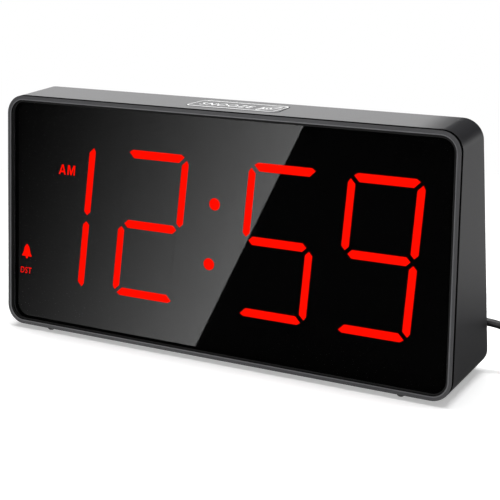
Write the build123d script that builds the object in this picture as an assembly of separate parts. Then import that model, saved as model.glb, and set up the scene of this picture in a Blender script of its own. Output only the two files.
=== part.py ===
from build123d import *
import math
import os

# A mains-fed desk clock with a large red seven-segment display.
# Millimetres. X runs to the right seen from the front, the face looks along -Y, Z is up.
# The origin is on the table, under the middle of the case.

# --- case form
CASE_WIDTH = 228.0  # across the case at its base
FACE_HEIGHT = 111.2  # front face, measured along its slope
SIDE_TAPER = 2.3  # each side comes in by this much from base to top
CORNER_RADIUS = 9.0  # the four corners of the face
FACE_LEAN = 3.0  # the face leans back, degrees
TOP_DEPTH = 26.8  # front to back along the top
BASE_DEPTH = 49.6  # front to back at the table
FOOT_STAND = 2.0  # the feet hold the case this far off the table
WALL = 2.0
BACK_EDGE_ROUND = 0.8
ROOTED = 0.5  # how far posts and ribs are sunk into the wall they stand on

# --- front frame
RIM_DEPTH = 0.7  # thickness of the frame's edge that shows from the side
RIM_ROUND = 0.3
RIM_INNER_ROUND = 0.3
GROOVE_WIDTH = 1.3
GROOVE_DEPTH = 0.9
BEZEL_WIDTH = 2.2
LENS_RECESS = 0.6
LENS_THICKNESS = 2.0
LENS_FIT = 0.15
MASK_THICKNESS = 0.2
FLANGE_THICKNESS = 1.4
MOUTH_LIP = 1.0  # what is left of the case wall where the frame slips in
JOINT_FIT = 0.15  # round the frame, inside the case's mouth
SPIGOT_DEPTH = 5.6  # the frame reaches this far behind the face
SPIGOT_INSET = 2.6

# --- display
DIGIT_LEAN = 0.0894  # sideways per unit of height, at the middle of the face
DIGIT_LEAN_DRIFT = 0.000372  # how much of that is lost per unit of width to the right
DIGIT_CENTRES = [CASE_WIDTH * share for share in (-0.3675, -0.1461, 0.1377, 0.3434)]
DIGIT_MIDDLE = FACE_HEIGHT * 0.5054  # height of the middle segments above the face's lower edge
DIGIT_HALF_WIDTH = CASE_WIDTH * 0.0675  # to the centre lines of the upright segments
DIGIT_HALF_HEIGHT = FACE_HEIGHT * 0.2923  # to the centre lines of the top and bottom segments
BAR_THICKNESS = 3.7  # level segments
POST_THICKNESS = 3.4  # upright segments
CORNER_GAP = 1.35
MIDDLE_GAP = 1.45
TIP_TRIM = 1.1
LONE_REACH = 1.4  # the first digit's bars run on past its corners
SHOULDER = 1.7
LIT_SEGMENTS = ("bc", "abged", "afgcd", "abcdfg")
ALL_SEGMENTS = ("bc", "abcdefg", "abcdefg", "abcdefg")
COLON_RADIUS = 2.7
COLON_PLACES = (
    (CASE_WIDTH * 0.0009, FACE_HEIGHT * 0.6313),
    (CASE_WIDTH * -0.0096, FACE_HEIGHT * 0.3858),
)
AM_SIZE = (11.4, 6.2)
BELL_SIZE = (7.4, 8.6)
SUMMER_TIME_SIZE = (8.6, 4.4)
INDICATORS = {  # centre and size of each little window on the face
    "am": (CASE_WIDTH * -0.3478, FACE_HEIGHT * 0.7014, *AM_SIZE),
    "bell": (CASE_WIDTH * -0.4535, FACE_HEIGHT * 0.3237, *BELL_SIZE),
    "summer_time": (CASE_WIDTH * -0.4557, FACE_HEIGHT * 0.2374, *SUMMER_TIME_SIZE),
}
BLOCK_WIDTH = CASE_WIDTH - 11.4
BLOCK_BOTTOM = 14.0
BLOCK_TOP = FACE_HEIGHT - 13.2
BLOCK_DEPTH = 7.0
BLOCK_FIT = 0.3
DIFFUSER_THICKNESS = 2.2
DIFFUSER_SETBACK = 0.1
WINDOW_FIT = 0.05
CHIP_LENGTH = 3.2
CHIP_WIDTH = 1.6
CHIP_HEIGHT = 0.9
BOARD_THICKNESS = 1.6
BOARD_BOTTOM = 5.0
BOARD_TOP = FACE_HEIGHT - 5.2
BOARD_HALF_WIDTH = CASE_WIDTH / 2 - 6.4

# --- fasteners
CASE_SCREW_X = CASE_WIDTH / 2 - 10.4
CASE_SCREW_HEIGHTS = (9.6, FACE_HEIGHT - 9.8)
CASE_POST_RADIUS = 3.4
CASE_POST_DEPTH = 10.0
CASE_SCREW_HEAD_DEPTH = 19.0
CASE_SCREW_REACH = 13.0
SCREW_RADIUS = 1.5
SCREW_CLEARANCE = 0.25
THREAD_FIT = 0.04
HEAD_RADIUS = 2.8
HEAD_HEIGHT = 2.0
WELL_RADIUS = 3.3
WELL_WALL = 1.3
SMALL_SCREW_RADIUS = 1.1
SMALL_HEAD_RADIUS = 2.1
SMALL_HEAD_HEIGHT = 1.4
SMALL_SCREW_REACH = 4.6
SMALL_POST_RADIUS = 2.6
DISPLAY_POST_X = CASE_WIDTH / 4 + 1.0
DISPLAY_POST_HEIGHTS = (8.2, FACE_HEIGHT - 8.2)

# --- snooze key, in the top
SNOOZE_X = 4.4
SNOOZE_FROM_FACE = 14.0
SNOOZE_LENGTH = 46.0
SNOOZE_DEPTH = 13.6
SNOOZE_CORNER = 2.6
SNOOZE_PROUD = 0.15
SNOOZE_TRAVEL = 1.0
KEY_GAP = 0.2
KEY_LIP = 0.9
KEY_LIP_THICKNESS = 0.9
KEY_PLAY = 0.25
SNOOZE_STEM_RADIUS = 2.0
SNOOZE_BOARD_BELOW = 9.4
SNOOZE_BOARD_LENGTH = 64.0
SNOOZE_BOARD_DEPTH = 10.0
SNOOZE_POST_X = 28.0
BOARD_TO_BOARD = 1.5  # round the snooze board, in the notch of the display's board

# --- switches
SWITCH_SIDE = 6.0
SWITCH_HEIGHT = 3.4
PLUNGER_RADIUS = 1.7
PLUNGER_HEIGHT = 0.9
SWITCH_CLEAR = 0.2  # left under a stem when its key is right down

# --- keys and controls on the back
KEY_NAMES = ("time", "alarm", "hour", "minute", "format", "summer_time")
KEY_PITCH = 15.0
KEY_ROW_CENTRE = 0.0
KEY_ROW_HEIGHT = FACE_HEIGHT - 27.2
KEY_RADIUS = 4.2
KEY_PROUD = 1.2
KEY_TRAVEL = 0.8
KEY_STEM_RADIUS = 1.6
KEY_CROWN = 0.4
CONTROL_BOARD_BELOW = 8.6  # its outer face, behind the back wall's outer face
CONTROL_BOARD_WIDTH = 156.0
CONTROL_BOARD_BOTTOM = KEY_ROW_HEIGHT - 14.0
CONTROL_BOARD_TOP = KEY_ROW_HEIGHT + 11.0
CONTROL_POST_X = CONTROL_BOARD_WIDTH / 2 - 7.5
CONTROL_POST_HEIGHT = KEY_ROW_HEIGHT - 9.5
ALARM_SWITCH_X = -59.0
ALARM_SWITCH_TRAVEL = 4.0
ALARM_KNOB_LENGTH = 4.6
ALARM_KNOB_WIDTH = 3.0
ALARM_KNOB_PROUD = 1.5
DIMMER_X = 60.0
DIMMER_RADIUS = 8.0
DIMMER_THICKNESS = 3.4
DIMMER_PROUD = 1.9
DIMMER_SPINDLE_RADIUS = 1.5
DIMMER_SPINDLE_FIT = 0.05
DIMMER_RIBS = 30
SLOT_GAP = 0.3

# --- backup battery
BATTERY_X = -6.0
BATTERY_HEIGHT = 38.0
CELL_RADIUS = 5.25
CELL_LENGTH = 43.3
CELL_CAP_RADIUS = 1.9
CELL_CAP_LENGTH = 0.9
CELL_GAP = 0.6
TRAY_END_ROOM = 3.6
TRAY_WALL = 1.2
DOOR_THICKNESS = 1.6
DOOR_GAP = 0.25
DOOR_REST = 1.6  # the ledge that the door's edge lies on
DOOR_CORNER = 0.6
DOOR_BARREL_RADIUS = 1.2
DOOR_PIN_RADIUS = 0.7
DOOR_PIN_REACH = 1.5
DOOR_PIN_FIT = 0.05
CONTACT_THICKNESS = 0.4
CONTACT_WIDTH = 7.4
CONTACT_HEIGHT = 8.6
CONTACT_TAIL_WIDTH = 2.4
CONTACT_TAIL = 2.2  # reach of the tails past the well's end wall

# --- sounder
SPEAKER_X = 62.0
SPEAKER_HEIGHT = 38.0
SPEAKER_RADIUS = 16.0
SPEAKER_RIM = 2.2
SPEAKER_DEPTH = 5.0
MAGNET_RADIUS = 8.0
MAGNET_DEPTH = 4.0
COLLAR_WALL = 1.3
GRILLE_SLOTS = 7
GRILLE_PITCH = 3.6
GRILLE_SLOT_WIDTH = 1.6
GRILLE_RADIUS = 13.0

# --- power inlet, plug, lead and adapter
JACK_X = CASE_WIDTH / 2 - 22.0
JACK_HEIGHT = 19.6
JACK_BUSH_RADIUS = 4.2
JACK_BORE_RADIUS = 2.85
JACK_BODY_SIDE = 9.0
JACK_DEPTH = 13.0
JACK_BORE_DEPTH = 10.0
JACK_PIN_RADIUS = 1.0
PLUG_BARREL_RADIUS = 2.75
PLUG_BARREL_BORE = 1.25
PLUG_BARREL_LENGTH = 9.5
PLUG_BODY = (12.0, 9.0, 8.4)  # along the lead, up and out from the back
PLUG_GAP = 0.6
RELIEF_LENGTH = 12.0
RELIEF_BASE_RADIUS = 2.8
RELIEF_GROOVES = 4
RELIEF_PITCH = 2.2
RELIEF_GROOVE_WIDTH = 0.9
LEAD_DIAMETER = 3.5
LEAD_START_X = JACK_X + PLUG_BODY[0] / 2 + RELIEF_LENGTH
LEAD_LEVEL_RUN = 6.0  # straight on from the strain relief
COIL_FROM_CASE = 48.0  # middle of the coil, beyond the case's side
COIL_CENTRE = (CASE_WIDTH / 2 + COIL_FROM_CASE, 4.2)
LEAD_ROUTE = (  # then along, back and up, from the coil's middle in X
    (-36.4, 26.7, 19.2),
    (-28.4, 26.8, 12.4),
    (-20.8, 26.9, 6.2),
    (-12.6, 26.9, 3.2),
    (-4.4, 26.9, 2.65),
)
COIL_TURN_RADIUS = 19.25  # middle of the turns
COIL_TURNS_ACROSS = 3
COIL_LAYERS = 4
TIE_THICKNESS = 0.6
TIE_WIDTH = 5.0
TIE_GAP = 0.3
ADAPTER_BODY = (40.0, 24.0, 27.0)
ADAPTER_FROM_COIL = 38.0
ADAPTER_START_X = COIL_CENTRE[0] + ADAPTER_FROM_COIL
ADAPTER_EDGE = 2.0
ADAPTER_RELIEF_LENGTH = 9.0
BLADE_LENGTH = 16.5
BLADE_WIDTH = 6.35
BLADE_THICKNESS = 1.5
BLADE_PITCH = 12.7

# --- loose wires inside
WIRE_RADIUS = 0.6
WIRE_BEND = 2.0
RIBBON_WIDTH = 16.0
RIBBON_X = -22.0
RIBBON_SAG = 5.0
RIBBON_THICKNESS = 0.8

# --- feet
FOOT_X = CASE_WIDTH / 2 - 23.3
FOOT_FROM_EDGE = 4.2
FOOT_RADIUS = 2.1
FOOT_TIP_RADIUS = 1.0
FOOT_STEM_RADIUS = 1.4
FOOT_STEM_LENGTH = 0.7

# --- worked out from the sizes above
lean = math.radians(FACE_LEAN)
FACE_RISE = FACE_HEIGHT * math.cos(lean)
FACE_RUN = FACE_HEIGHT * math.sin(lean)
BACK_RISE = FACE_RISE + TOP_DEPTH * math.sin(lean)
BACK_RUN = BASE_DEPTH - FACE_RUN - TOP_DEPTH * math.cos(lean)
BACK_HEIGHT = math.hypot(BACK_RISE, BACK_RUN)
back_lean = math.atan2(BACK_RUN, BACK_RISE)
LENS_BACK = LENS_RECESS + LENS_THICKNESS
SEAT_DEPTH = LENS_BACK + MASK_THICKNESS
BOARD_FRONT = SEAT_DEPTH + BLOCK_DEPTH
SPIGOT_START = RIM_DEPTH + GROOVE_WIDTH
FAR = 4 * CASE_WIDTH

face_frame = Plane(
    origin=(0, -BASE_DEPTH / 2, FOOT_STAND),
    x_dir=(1, 0, 0),
    z_dir=(0, -math.cos(lean), math.sin(lean)),
)
back_section = Plane(
    origin=(0, BASE_DEPTH / 2, FOOT_STAND),
    x_dir=(1, 0, 0),
    z_dir=(0, -math.cos(back_lean), -math.sin(back_lean)),
)
back_frame = Plane(
    origin=(0, BASE_DEPTH / 2, FOOT_STAND),
    x_dir=(-1, 0, 0),
    z_dir=(0, math.cos(back_lean), math.sin(back_lean)),
)
top_frame = Plane(
    origin=(0, -BASE_DEPTH / 2 + FACE_RUN, FOOT_STAND + FACE_RISE),
    x_dir=(1, 0, 0),
    z_dir=(0, -math.sin(lean), math.cos(lean)),
)
base_frame = Plane(origin=(0, 0, FOOT_STAND), x_dir=(1, 0, 0), z_dir=(0, 0, 1))


# --- small helpers
def block(size_x, size_y, low, high, x=0.0, y=0.0):
    """A box centred on x, y that spans low to high along the frame's normal."""
    return Pos(x, y, (low + high) / 2) * Box(size_x, size_y, high - low)


def disc(radius, low, high, x=0.0, y=0.0):
    return Pos(x, y, (low + high) / 2) * Cylinder(radius, high - low)


def ring(outer, inner, low, high, x=0.0, y=0.0):
    return disc(outer, low, high, x, y) - disc(inner, low, high, x, y)


def rounded_block(size_x, size_y, corner, low, high, x=0.0, y=0.0):
    face = Pos(x, y, low) * RectangleRounded(size_x, size_y, corner)
    return extrude(face, amount=high - low, dir=(0, 0, 1))


def prism(points, low, high):
    face = make_face(Polyline([(px, py, low) for px, py in points], close=True))
    return extrude(face, amount=high - low, dir=(0, 0, 1))


def placed(frame, shape):
    return frame.location * shape


def screw(shank_radius, head_radius, head_height, length, shape_at):
    """A pan-head screw: its head's seat is at z 0, the head above and the shank below."""
    head = disc(head_radius, 0, head_height)
    head = fillet(head.edges().group_by(Axis.Z)[-1], head_height * 0.35)
    slot = block(head_radius * 1.1, head_radius * 0.24, head_height * 0.55, head_height)
    cross = slot + Rot(0, 0, 90) * slot
    return shape_at * (head - cross + disc(shank_radius, -length, 0))


def leaned(x, y):
    """A point of the display, sheared about the digits' middle line."""
    lean = DIGIT_LEAN - DIGIT_LEAN_DRIFT * x
    return (x + (y - DIGIT_MIDDLE) * lean, y)


# --- the case's form
def half_width_at(rise):
    return CASE_WIDTH / 2 - SIDE_TAPER * rise / FACE_RISE


def case_outline(height, rise, inset):
    top = half_width_at(rise)
    base = half_width_at(0)
    corners = [(-base, 0), (base, 0), (top, height), (-top, height)]
    face = make_face(Polyline(corners, close=True))
    face = fillet(face.vertices(), CORNER_RADIUS)
    return offset(face, amount=-inset) if inset else face


def case_form(inset=0.0):
    """The whole wedge-shaped body, with its sides brought in by inset."""
    front = face_frame.location * case_outline(FACE_HEIGHT, FACE_RISE, inset)
    back = back_section.location * case_outline(BACK_HEIGHT, BACK_RISE, inset)
    return loft([front, back], ruled=True)


def behind_face(near, far):
    return placed(face_frame, block(FAR, FAR, -far, -near))


def face_prism(inset, near, far):
    """The face's own outline, brought in by inset, square to the face."""
    outline = Pos(0, 0, -far) * case_outline(FACE_HEIGHT, FACE_RISE, inset)
    return placed(face_frame, extrude(outline, amount=far - near, dir=(0, 0, 1)))


# --- segments
def segment_points(name, half_width, tip_reach=0.0):
    """One segment's outline about the digit's centre, upright, before the lean."""
    top = DIGIT_HALF_HEIGHT + BAR_THICKNESS / 2
    low = DIGIT_HALF_HEIGHT - BAR_THICKNESS / 2
    outer = half_width + POST_THICKNESS / 2
    inner = half_width - POST_THICKNESS / 2
    if name in "ad":
        tip = outer - CORNER_GAP - TIP_TRIM
        foot = tip - (BAR_THICKNESS - TIP_TRIM)
        points = [
            (-tip, top - TIP_TRIM),
            (-tip + SHOULDER, top),
            (tip - SHOULDER, top),
            (tip, top - TIP_TRIM),
            (foot, low),
            (-foot, low),
        ]
        return points if name == "a" else [(x, -y) for x, y in points]
    if name == "g":
        tip = half_width - MIDDLE_GAP
        half = BAR_THICKNESS / 2
        points = [(-tip, 0), (half - tip, half), (tip - half, half)]
        return points + [(-x, -y) for x, y in points]
    tip = top - CORNER_GAP - TIP_TRIM + tip_reach
    foot = MIDDLE_GAP
    points = [
        (outer - TIP_TRIM, tip),
        (outer, tip - SHOULDER),
        (outer, foot + SHOULDER),
        (half_width, foot),
        (inner, foot + SHOULDER),
        (inner, tip - (POST_THICKNESS - TIP_TRIM)),
    ]
    if name in "ef":
        points = [(-x, y) for x, y in points]
    if name in "ce":
        points = [(x, -y) for x, y in points]
    return points


def segment(digit, name, low, high, spread=0.0):
    """One segment as a slab of the display, between two depths; spread widens it all round."""
    reach = LONE_REACH if len(ALL_SEGMENTS[digit]) == 2 else 0.0
    points = [
        leaned(DIGIT_CENTRES[digit] + x, DIGIT_MIDDLE + y)
        for x, y in segment_points(name, DIGIT_HALF_WIDTH, reach)
    ]
    face = make_face(Polyline(points, close=True))
    if spread:
        face = offset(face, amount=spread, kind=Kind.INTERSECTION)
    return extrude(Pos(0, 0, low) * face, amount=high - low, dir=(0, 0, 1))


def segment_centre(digit, name):
    points = segment_points(name, DIGIT_HALF_WIDTH)
    x = sum(p[0] for p in points) / len(points)
    y = sum(p[1] for p in points) / len(points)
    return leaned(DIGIT_CENTRES[digit] + x, DIGIT_MIDDLE + y)


def windows(low, high, spread):
    """Every opening that light comes through, as slabs between two depths."""
    shapes = [
        segment(digit, name, low, high, spread)
        for digit, names in enumerate(ALL_SEGMENTS)
        for name in names
    ]
    shapes += [disc(COLON_RADIUS + spread, low, high, x, y) for x, y in COLON_PLACES]
    shapes += [
        block(width + 2 * spread, height + 2 * spread, low, high, x, y)
        for x, y, width, height in INDICATORS.values()
    ]
    return shapes


# --- front frame and display
def case_post_places():
    return [(side * CASE_SCREW_X, y) for side in (-1, 1) for y in CASE_SCREW_HEIGHTS]


def display_post_places():
    return [(side * DISPLAY_POST_X, y) for side in (-1, 1) for y in DISPLAY_POST_HEIGHTS]


def front_bezel():
    rim = case_form() & behind_face(0, RIM_DEPTH)
    rim = fillet(rim.faces().sort_by(Axis.Y)[0].outer_wire().edges(), RIM_ROUND)
    neck = case_form(GROOVE_DEPTH) & behind_face(RIM_DEPTH, SPIGOT_START)
    spigot = case_form(MOUTH_LIP + JOINT_FIT) & behind_face(SPIGOT_START, SPIGOT_DEPTH)
    flange_back = SEAT_DEPTH + FLANGE_THICKNESS
    frame = rim + neck + spigot
    frame -= case_form(SPIGOT_INSET) & behind_face(flange_back, SPIGOT_DEPTH + 1)
    frame -= face_prism(BEZEL_WIDTH, -1, SEAT_DEPTH)
    front = frame.faces().sort_by(Axis((0, 0, 0), face_frame.z_dir))[-1]
    frame = fillet(front.inner_wires()[0].edges(), RIM_INNER_ROUND)
    window = block(
        BLOCK_WIDTH + 2 * BLOCK_FIT,
        BLOCK_TOP - BLOCK_BOTTOM + 2 * BLOCK_FIT,
        -SPIGOT_DEPTH,
        0,
        0,
        (BLOCK_TOP + BLOCK_BOTTOM) / 2,
    )
    frame -= placed(face_frame, window)
    for x, y in case_post_places():
        frame += placed(face_frame, disc(CASE_POST_RADIUS, -CASE_POST_DEPTH, -flange_back, x, y))
        pilot = disc(SCREW_RADIUS + THREAD_FIT, -CASE_POST_DEPTH, -flange_back, x, y)
        frame -= placed(face_frame, pilot)
    for x, y in display_post_places():
        frame += placed(face_frame, disc(SMALL_POST_RADIUS, -BOARD_FRONT, -flange_back, x, y))
        pilot = disc(SMALL_SCREW_RADIUS + THREAD_FIT, -BOARD_FRONT, -flange_back, x, y)
        frame -= placed(face_frame, pilot)
    return frame


def display_lens():
    lens = face_prism(BEZEL_WIDTH + LENS_FIT, LENS_RECESS, LENS_BACK)
    front = lens.faces().sort_by(Axis.Y)[0]
    return chamfer(front.outer_wire().edges(), 0.25)


def segment_mask():
    mask = face_prism(BEZEL_WIDTH + LENS_FIT, LENS_BACK, SEAT_DEPTH)
    for opening in windows(-SEAT_DEPTH - 1, -LENS_BACK + 1, WINDOW_FIT):
        mask -= placed(face_frame, opening)
    return mask


def display_block():
    body = block(
        BLOCK_WIDTH,
        BLOCK_TOP - BLOCK_BOTTOM,
        -BOARD_FRONT,
        -SEAT_DEPTH,
        0,
        (BLOCK_TOP + BLOCK_BOTTOM) / 2,
    )
    for opening in windows(-BOARD_FRONT - 1, -SEAT_DEPTH + 1, WINDOW_FIT):
        body -= opening
    return placed(face_frame, body)


DIFFUSER_FRONT = LENS_BACK + DIFFUSER_SETBACK
DIFFUSER_BACK = DIFFUSER_FRONT + DIFFUSER_THICKNESS


def segments_of(digit, names):
    shapes = [segment(digit, name, -DIFFUSER_BACK, -DIFFUSER_FRONT) for name in names]
    return placed(face_frame, Compound(children=shapes))


def unlit_segments():
    shapes = [
        segment(digit, name, -DIFFUSER_BACK, -DIFFUSER_FRONT)
        for digit, names in enumerate(ALL_SEGMENTS)
        for name in names
        if name not in LIT_SEGMENTS[digit]
    ]
    return placed(face_frame, Compound(children=shapes))


def colon_dots():
    dots = [disc(COLON_RADIUS, -DIFFUSER_BACK, -DIFFUSER_FRONT, x, y) for x, y in COLON_PLACES]
    return placed(face_frame, Compound(children=dots))


def indicator_windows():
    shapes = [
        block(width, height, -DIFFUSER_BACK, -DIFFUSER_FRONT, x, y)
        for x, y, width, height in INDICATORS.values()
    ]
    return placed(face_frame, Compound(children=shapes))


def light_chips():
    """One light-emitting chip on the board behind each window."""
    low = -BOARD_FRONT
    places = [
        (segment_centre(digit, name), name in "adg")
        for digit, names in enumerate(ALL_SEGMENTS)
        for name in names
    ]
    places += [(place, True) for place in COLON_PLACES]
    places += [((x, y), True) for x, y, _, _ in INDICATORS.values()]
    chips = []
    for (x, y), level in places:
        length, width = (CHIP_LENGTH, CHIP_WIDTH) if level else (CHIP_WIDTH, CHIP_LENGTH)
        chips.append(block(length, width, low, low + CHIP_HEIGHT, x, y))
    return placed(face_frame, Compound(children=chips))


def display_board():
    middle = (BOARD_TOP + BOARD_BOTTOM) / 2
    low = -BOARD_FRONT - BOARD_THICKNESS
    board = block(2 * BOARD_HALF_WIDTH, BOARD_TOP - BOARD_BOTTOM, low, -BOARD_FRONT, 0, middle)
    notch = 2 * (BOARD_HALF_WIDTH - CASE_SCREW_X + CASE_POST_RADIUS + 1.2)
    for x, y in case_post_places():
        edge = BOARD_BOTTOM if y < middle else BOARD_TOP
        reach = 2 * (abs(edge - y) + CASE_POST_RADIUS + 1.2)
        side = math.copysign(BOARD_HALF_WIDTH, x)
        board -= block(notch, reach, low - 1, 1 - BOARD_FRONT, side, edge)
    for x, y in display_post_places():
        board -= disc(SMALL_SCREW_RADIUS + SCREW_CLEARANCE, low - 1, 1 - BOARD_FRONT, x, y)
    snooze_low = FACE_HEIGHT - SNOOZE_BOARD_BELOW - BOARD_THICKNESS - SMALL_HEAD_HEIGHT
    board -= block(
        SNOOZE_BOARD_LENGTH + 2 * BOARD_TO_BOARD,
        2 * (BOARD_TOP - snooze_low + BOARD_TO_BOARD),
        low - 1,
        1 - BOARD_FRONT,
        SNOOZE_X,
        BOARD_TOP,
    )
    return placed(face_frame, board)


def display_board_screws():
    seat = BOARD_FRONT + BOARD_THICKNESS
    screws = [
        screw(
            SMALL_SCREW_RADIUS,
            SMALL_HEAD_RADIUS,
            SMALL_HEAD_HEIGHT,
            SMALL_SCREW_REACH,
            Pos(x, y, -seat) * Rot(180, 0, 0),
        )
        for x, y in display_post_places()
    ]
    return placed(face_frame, Compound(children=screws))


# --- rear case
def battery_room():
    """Half length, half height and depth of the battery well, and its centre on the back."""
    half_length = (CELL_LENGTH + CELL_CAP_LENGTH) / 2 + TRAY_END_ROOM
    half_height = 2 * CELL_RADIUS + CELL_GAP * 1.5
    depth = DOOR_THICKNESS + 2 * CELL_RADIUS + 0.6
    return half_length, half_height, depth


def cell_heights():
    step = CELL_RADIUS + CELL_GAP / 2
    return (BATTERY_HEIGHT - step, BATTERY_HEIGHT + step)


def cell_axis_below():
    return DOOR_THICKNESS + CELL_RADIUS + 0.3


def hinge_line():
    """Height and depth of the line that the battery door's pins lie on."""
    _, half_height, _ = battery_room()
    low = BATTERY_HEIGHT - half_height - DOOR_REST + DOOR_GAP
    return low + DOOR_BARREL_RADIUS, -DOOR_BARREL_RADIUS


def speaker_seat():
    return WALL + 0.2


def grille_slots():
    slots = []
    for row in range(GRILLE_SLOTS):
        y = (row - (GRILLE_SLOTS - 1) / 2) * GRILLE_PITCH
        half = math.sqrt(GRILLE_RADIUS**2 - y**2)
        slot = Pos(-SPEAKER_X, SPEAKER_HEIGHT + y, -WALL - 1) * SlotOverall(2 * half, GRILLE_SLOT_WIDTH)
        slots.append(extrude(slot, amount=WALL + 2, dir=(0, 0, 1)))
    return slots


def key_places():
    first = KEY_ROW_CENTRE - KEY_PITCH * (len(KEY_NAMES) - 1) / 2
    return [(name, first + KEY_PITCH * i) for i, name in enumerate(KEY_NAMES)]


def control_post_places():
    return [(side * CONTROL_POST_X, CONTROL_POST_HEIGHT) for side in (-1, 1)]


def snooze_post_places():
    return [(SNOOZE_X + side * SNOOZE_POST_X, SNOOZE_FROM_FACE) for side in (-1, 1)]


def dimmer_axis_below():
    """How far the dimmer wheel's axis lies behind the back wall's outer face."""
    return DIMMER_RADIUS - DIMMER_PROUD


def rear_case():
    shell = case_form() & behind_face(SPIGOT_START, FAR)
    rim = shell.faces().sort_by(Axis.Y)[-1].outer_wire().edges()
    shell = fillet(rim, BACK_EDGE_ROUND)
    inside = case_form(WALL) - placed(back_frame, block(FAR, FAR, -WALL, FAR))
    shell -= inside
    shell -= case_form(MOUTH_LIP) & behind_face(0, SPIGOT_DEPTH + JOINT_FIT)
    half_length, half_height, depth = battery_room()

    # what stands on the back wall's inner face
    additions = [
        block(
            2 * (half_length + TRAY_WALL),
            2 * (half_height + TRAY_WALL),
            -depth - TRAY_WALL,
            ROOTED - WALL,
            -BATTERY_X,
            BATTERY_HEIGHT,
        ),
        block(
            2 * (half_length + DOOR_REST + DOOR_PIN_REACH + 1.6),
            2 * (DOOR_BARREL_RADIUS + DOOR_GAP + 1.4),
            -2 * DOOR_BARREL_RADIUS - SLOT_GAP - 1.2,
            ROOTED - WALL,
            -BATTERY_X,
            hinge_line()[0],
        ),
        ring(
            SPEAKER_RADIUS + 0.1 + COLLAR_WALL,
            SPEAKER_RADIUS + 0.1,
            -speaker_seat() - SPEAKER_DEPTH * 0.6,
            ROOTED - WALL,
            -SPEAKER_X,
            SPEAKER_HEIGHT,
        ),
    ]
    additions += [
        disc(SMALL_POST_RADIUS, -CONTROL_BOARD_BELOW, ROOTED - WALL, -x, y)
        for x, y in control_post_places()
    ]
    for part in additions:
        shell += placed(back_frame, part)
    for x, y in snooze_post_places():
        post = disc(SMALL_POST_RADIUS, -SNOOZE_BOARD_BELOW, ROOTED - WALL, x, y)
        shell += placed(top_frame, post)

    # what is cut through it
    door_x, door_y = 2 * (half_length + DOOR_REST), 2 * (half_height + DOOR_REST)
    cuts = [
        rounded_block(door_x, door_y, DOOR_CORNER, -DOOR_THICKNESS, 1, -BATTERY_X, BATTERY_HEIGHT),
        block(2 * half_length, 2 * half_height, -depth, 0, -BATTERY_X, BATTERY_HEIGHT),
        block(
            door_x,
            DOOR_REST + 2 * ROOTED,
            -2 * DOOR_BARREL_RADIUS - SLOT_GAP,
            0,
            -BATTERY_X,
            BATTERY_HEIGHT - half_height - DOOR_REST / 2 + ROOTED,
        ),
        Pos(-BATTERY_X, *hinge_line())
        * lying(Cylinder(DOOR_PIN_RADIUS + DOOR_PIN_FIT, door_x + 2 * DOOR_PIN_REACH + 0.4)),
        block(
            DIMMER_THICKNESS + 2 * SLOT_GAP,
            2 * math.sqrt(DIMMER_RADIUS**2 - (dimmer_axis_below() - WALL) ** 2) + 2 * SLOT_GAP,
            -WALL - 1,
            1,
            -DIMMER_X,
            KEY_ROW_HEIGHT,
        ),
        block(
            ALARM_KNOB_LENGTH + ALARM_SWITCH_TRAVEL + 2 * SLOT_GAP,
            ALARM_KNOB_WIDTH + 2 * SLOT_GAP,
            -WALL - 1,
            1,
            -ALARM_SWITCH_X,
            KEY_ROW_HEIGHT,
        ),
        disc(JACK_BUSH_RADIUS + 0.1, -WALL - 1, 1, -JACK_X, JACK_HEIGHT),
    ]
    cuts += [disc(KEY_RADIUS + KEY_GAP, -WALL - 1, 1, -x, KEY_ROW_HEIGHT) for _, x in key_places()]
    cuts += grille_slots()
    cuts += [
        block(
            TRAY_WALL + 2 * ROOTED,
            CONTACT_TAIL_WIDTH + 0.4,
            -cell_axis_below() - 0.4,
            -cell_axis_below() + 0.4,
            -BATTERY_X + half_length + TRAY_WALL / 2,
            y,
        )
        for y in cell_heights()
    ]
    cuts += [
        disc(SMALL_SCREW_RADIUS + THREAD_FIT, -CONTROL_BOARD_BELOW, -WALL - 0.4, -x, y)
        for x, y in control_post_places()
    ]
    for cut in cuts:
        shell -= placed(back_frame, cut)
    for x, y in snooze_post_places():
        pilot = disc(SMALL_SCREW_RADIUS + THREAD_FIT, -SNOOZE_BOARD_BELOW, -WALL - 0.4, x, y)
        shell -= placed(top_frame, pilot)
    opening = rounded_block(
        SNOOZE_LENGTH + 2 * KEY_GAP,
        SNOOZE_DEPTH + 2 * KEY_GAP,
        SNOOZE_CORNER,
        -WALL - 1,
        1,
        SNOOZE_X,
        SNOOZE_FROM_FACE,
    )
    shell -= placed(top_frame, opening)

    # screw wells, square to the face, that reach in to meet the front frame's posts
    inside = case_form(WALL / 2) - placed(back_frame, block(FAR, FAR, -WALL / 2, FAR))
    for x, y in case_post_places():
        well = disc(WELL_RADIUS + WELL_WALL, -FAR / 2, -CASE_POST_DEPTH, x, y)
        shell += placed(face_frame, well) & inside
        shell -= placed(face_frame, disc(WELL_RADIUS, -FAR / 2, -CASE_SCREW_HEAD_DEPTH, x, y))
        hole = disc(SCREW_RADIUS + SCREW_CLEARANCE, -FAR / 2, 0, x, y)
        shell -= placed(face_frame, hole)

    # blind holes for the feet
    for x, y in foot_places():
        shell -= placed(base_frame, disc(FOOT_STEM_RADIUS, 0, FOOT_STEM_LENGTH, x, y))
    return shell


def foot_places():
    front = -BASE_DEPTH / 2 + FOOT_FROM_EDGE
    back = BASE_DEPTH / 2 - FOOT_FROM_EDGE
    return [(side * FOOT_X, y) for side in (-1, 1) for y in (front, back)]


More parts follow.
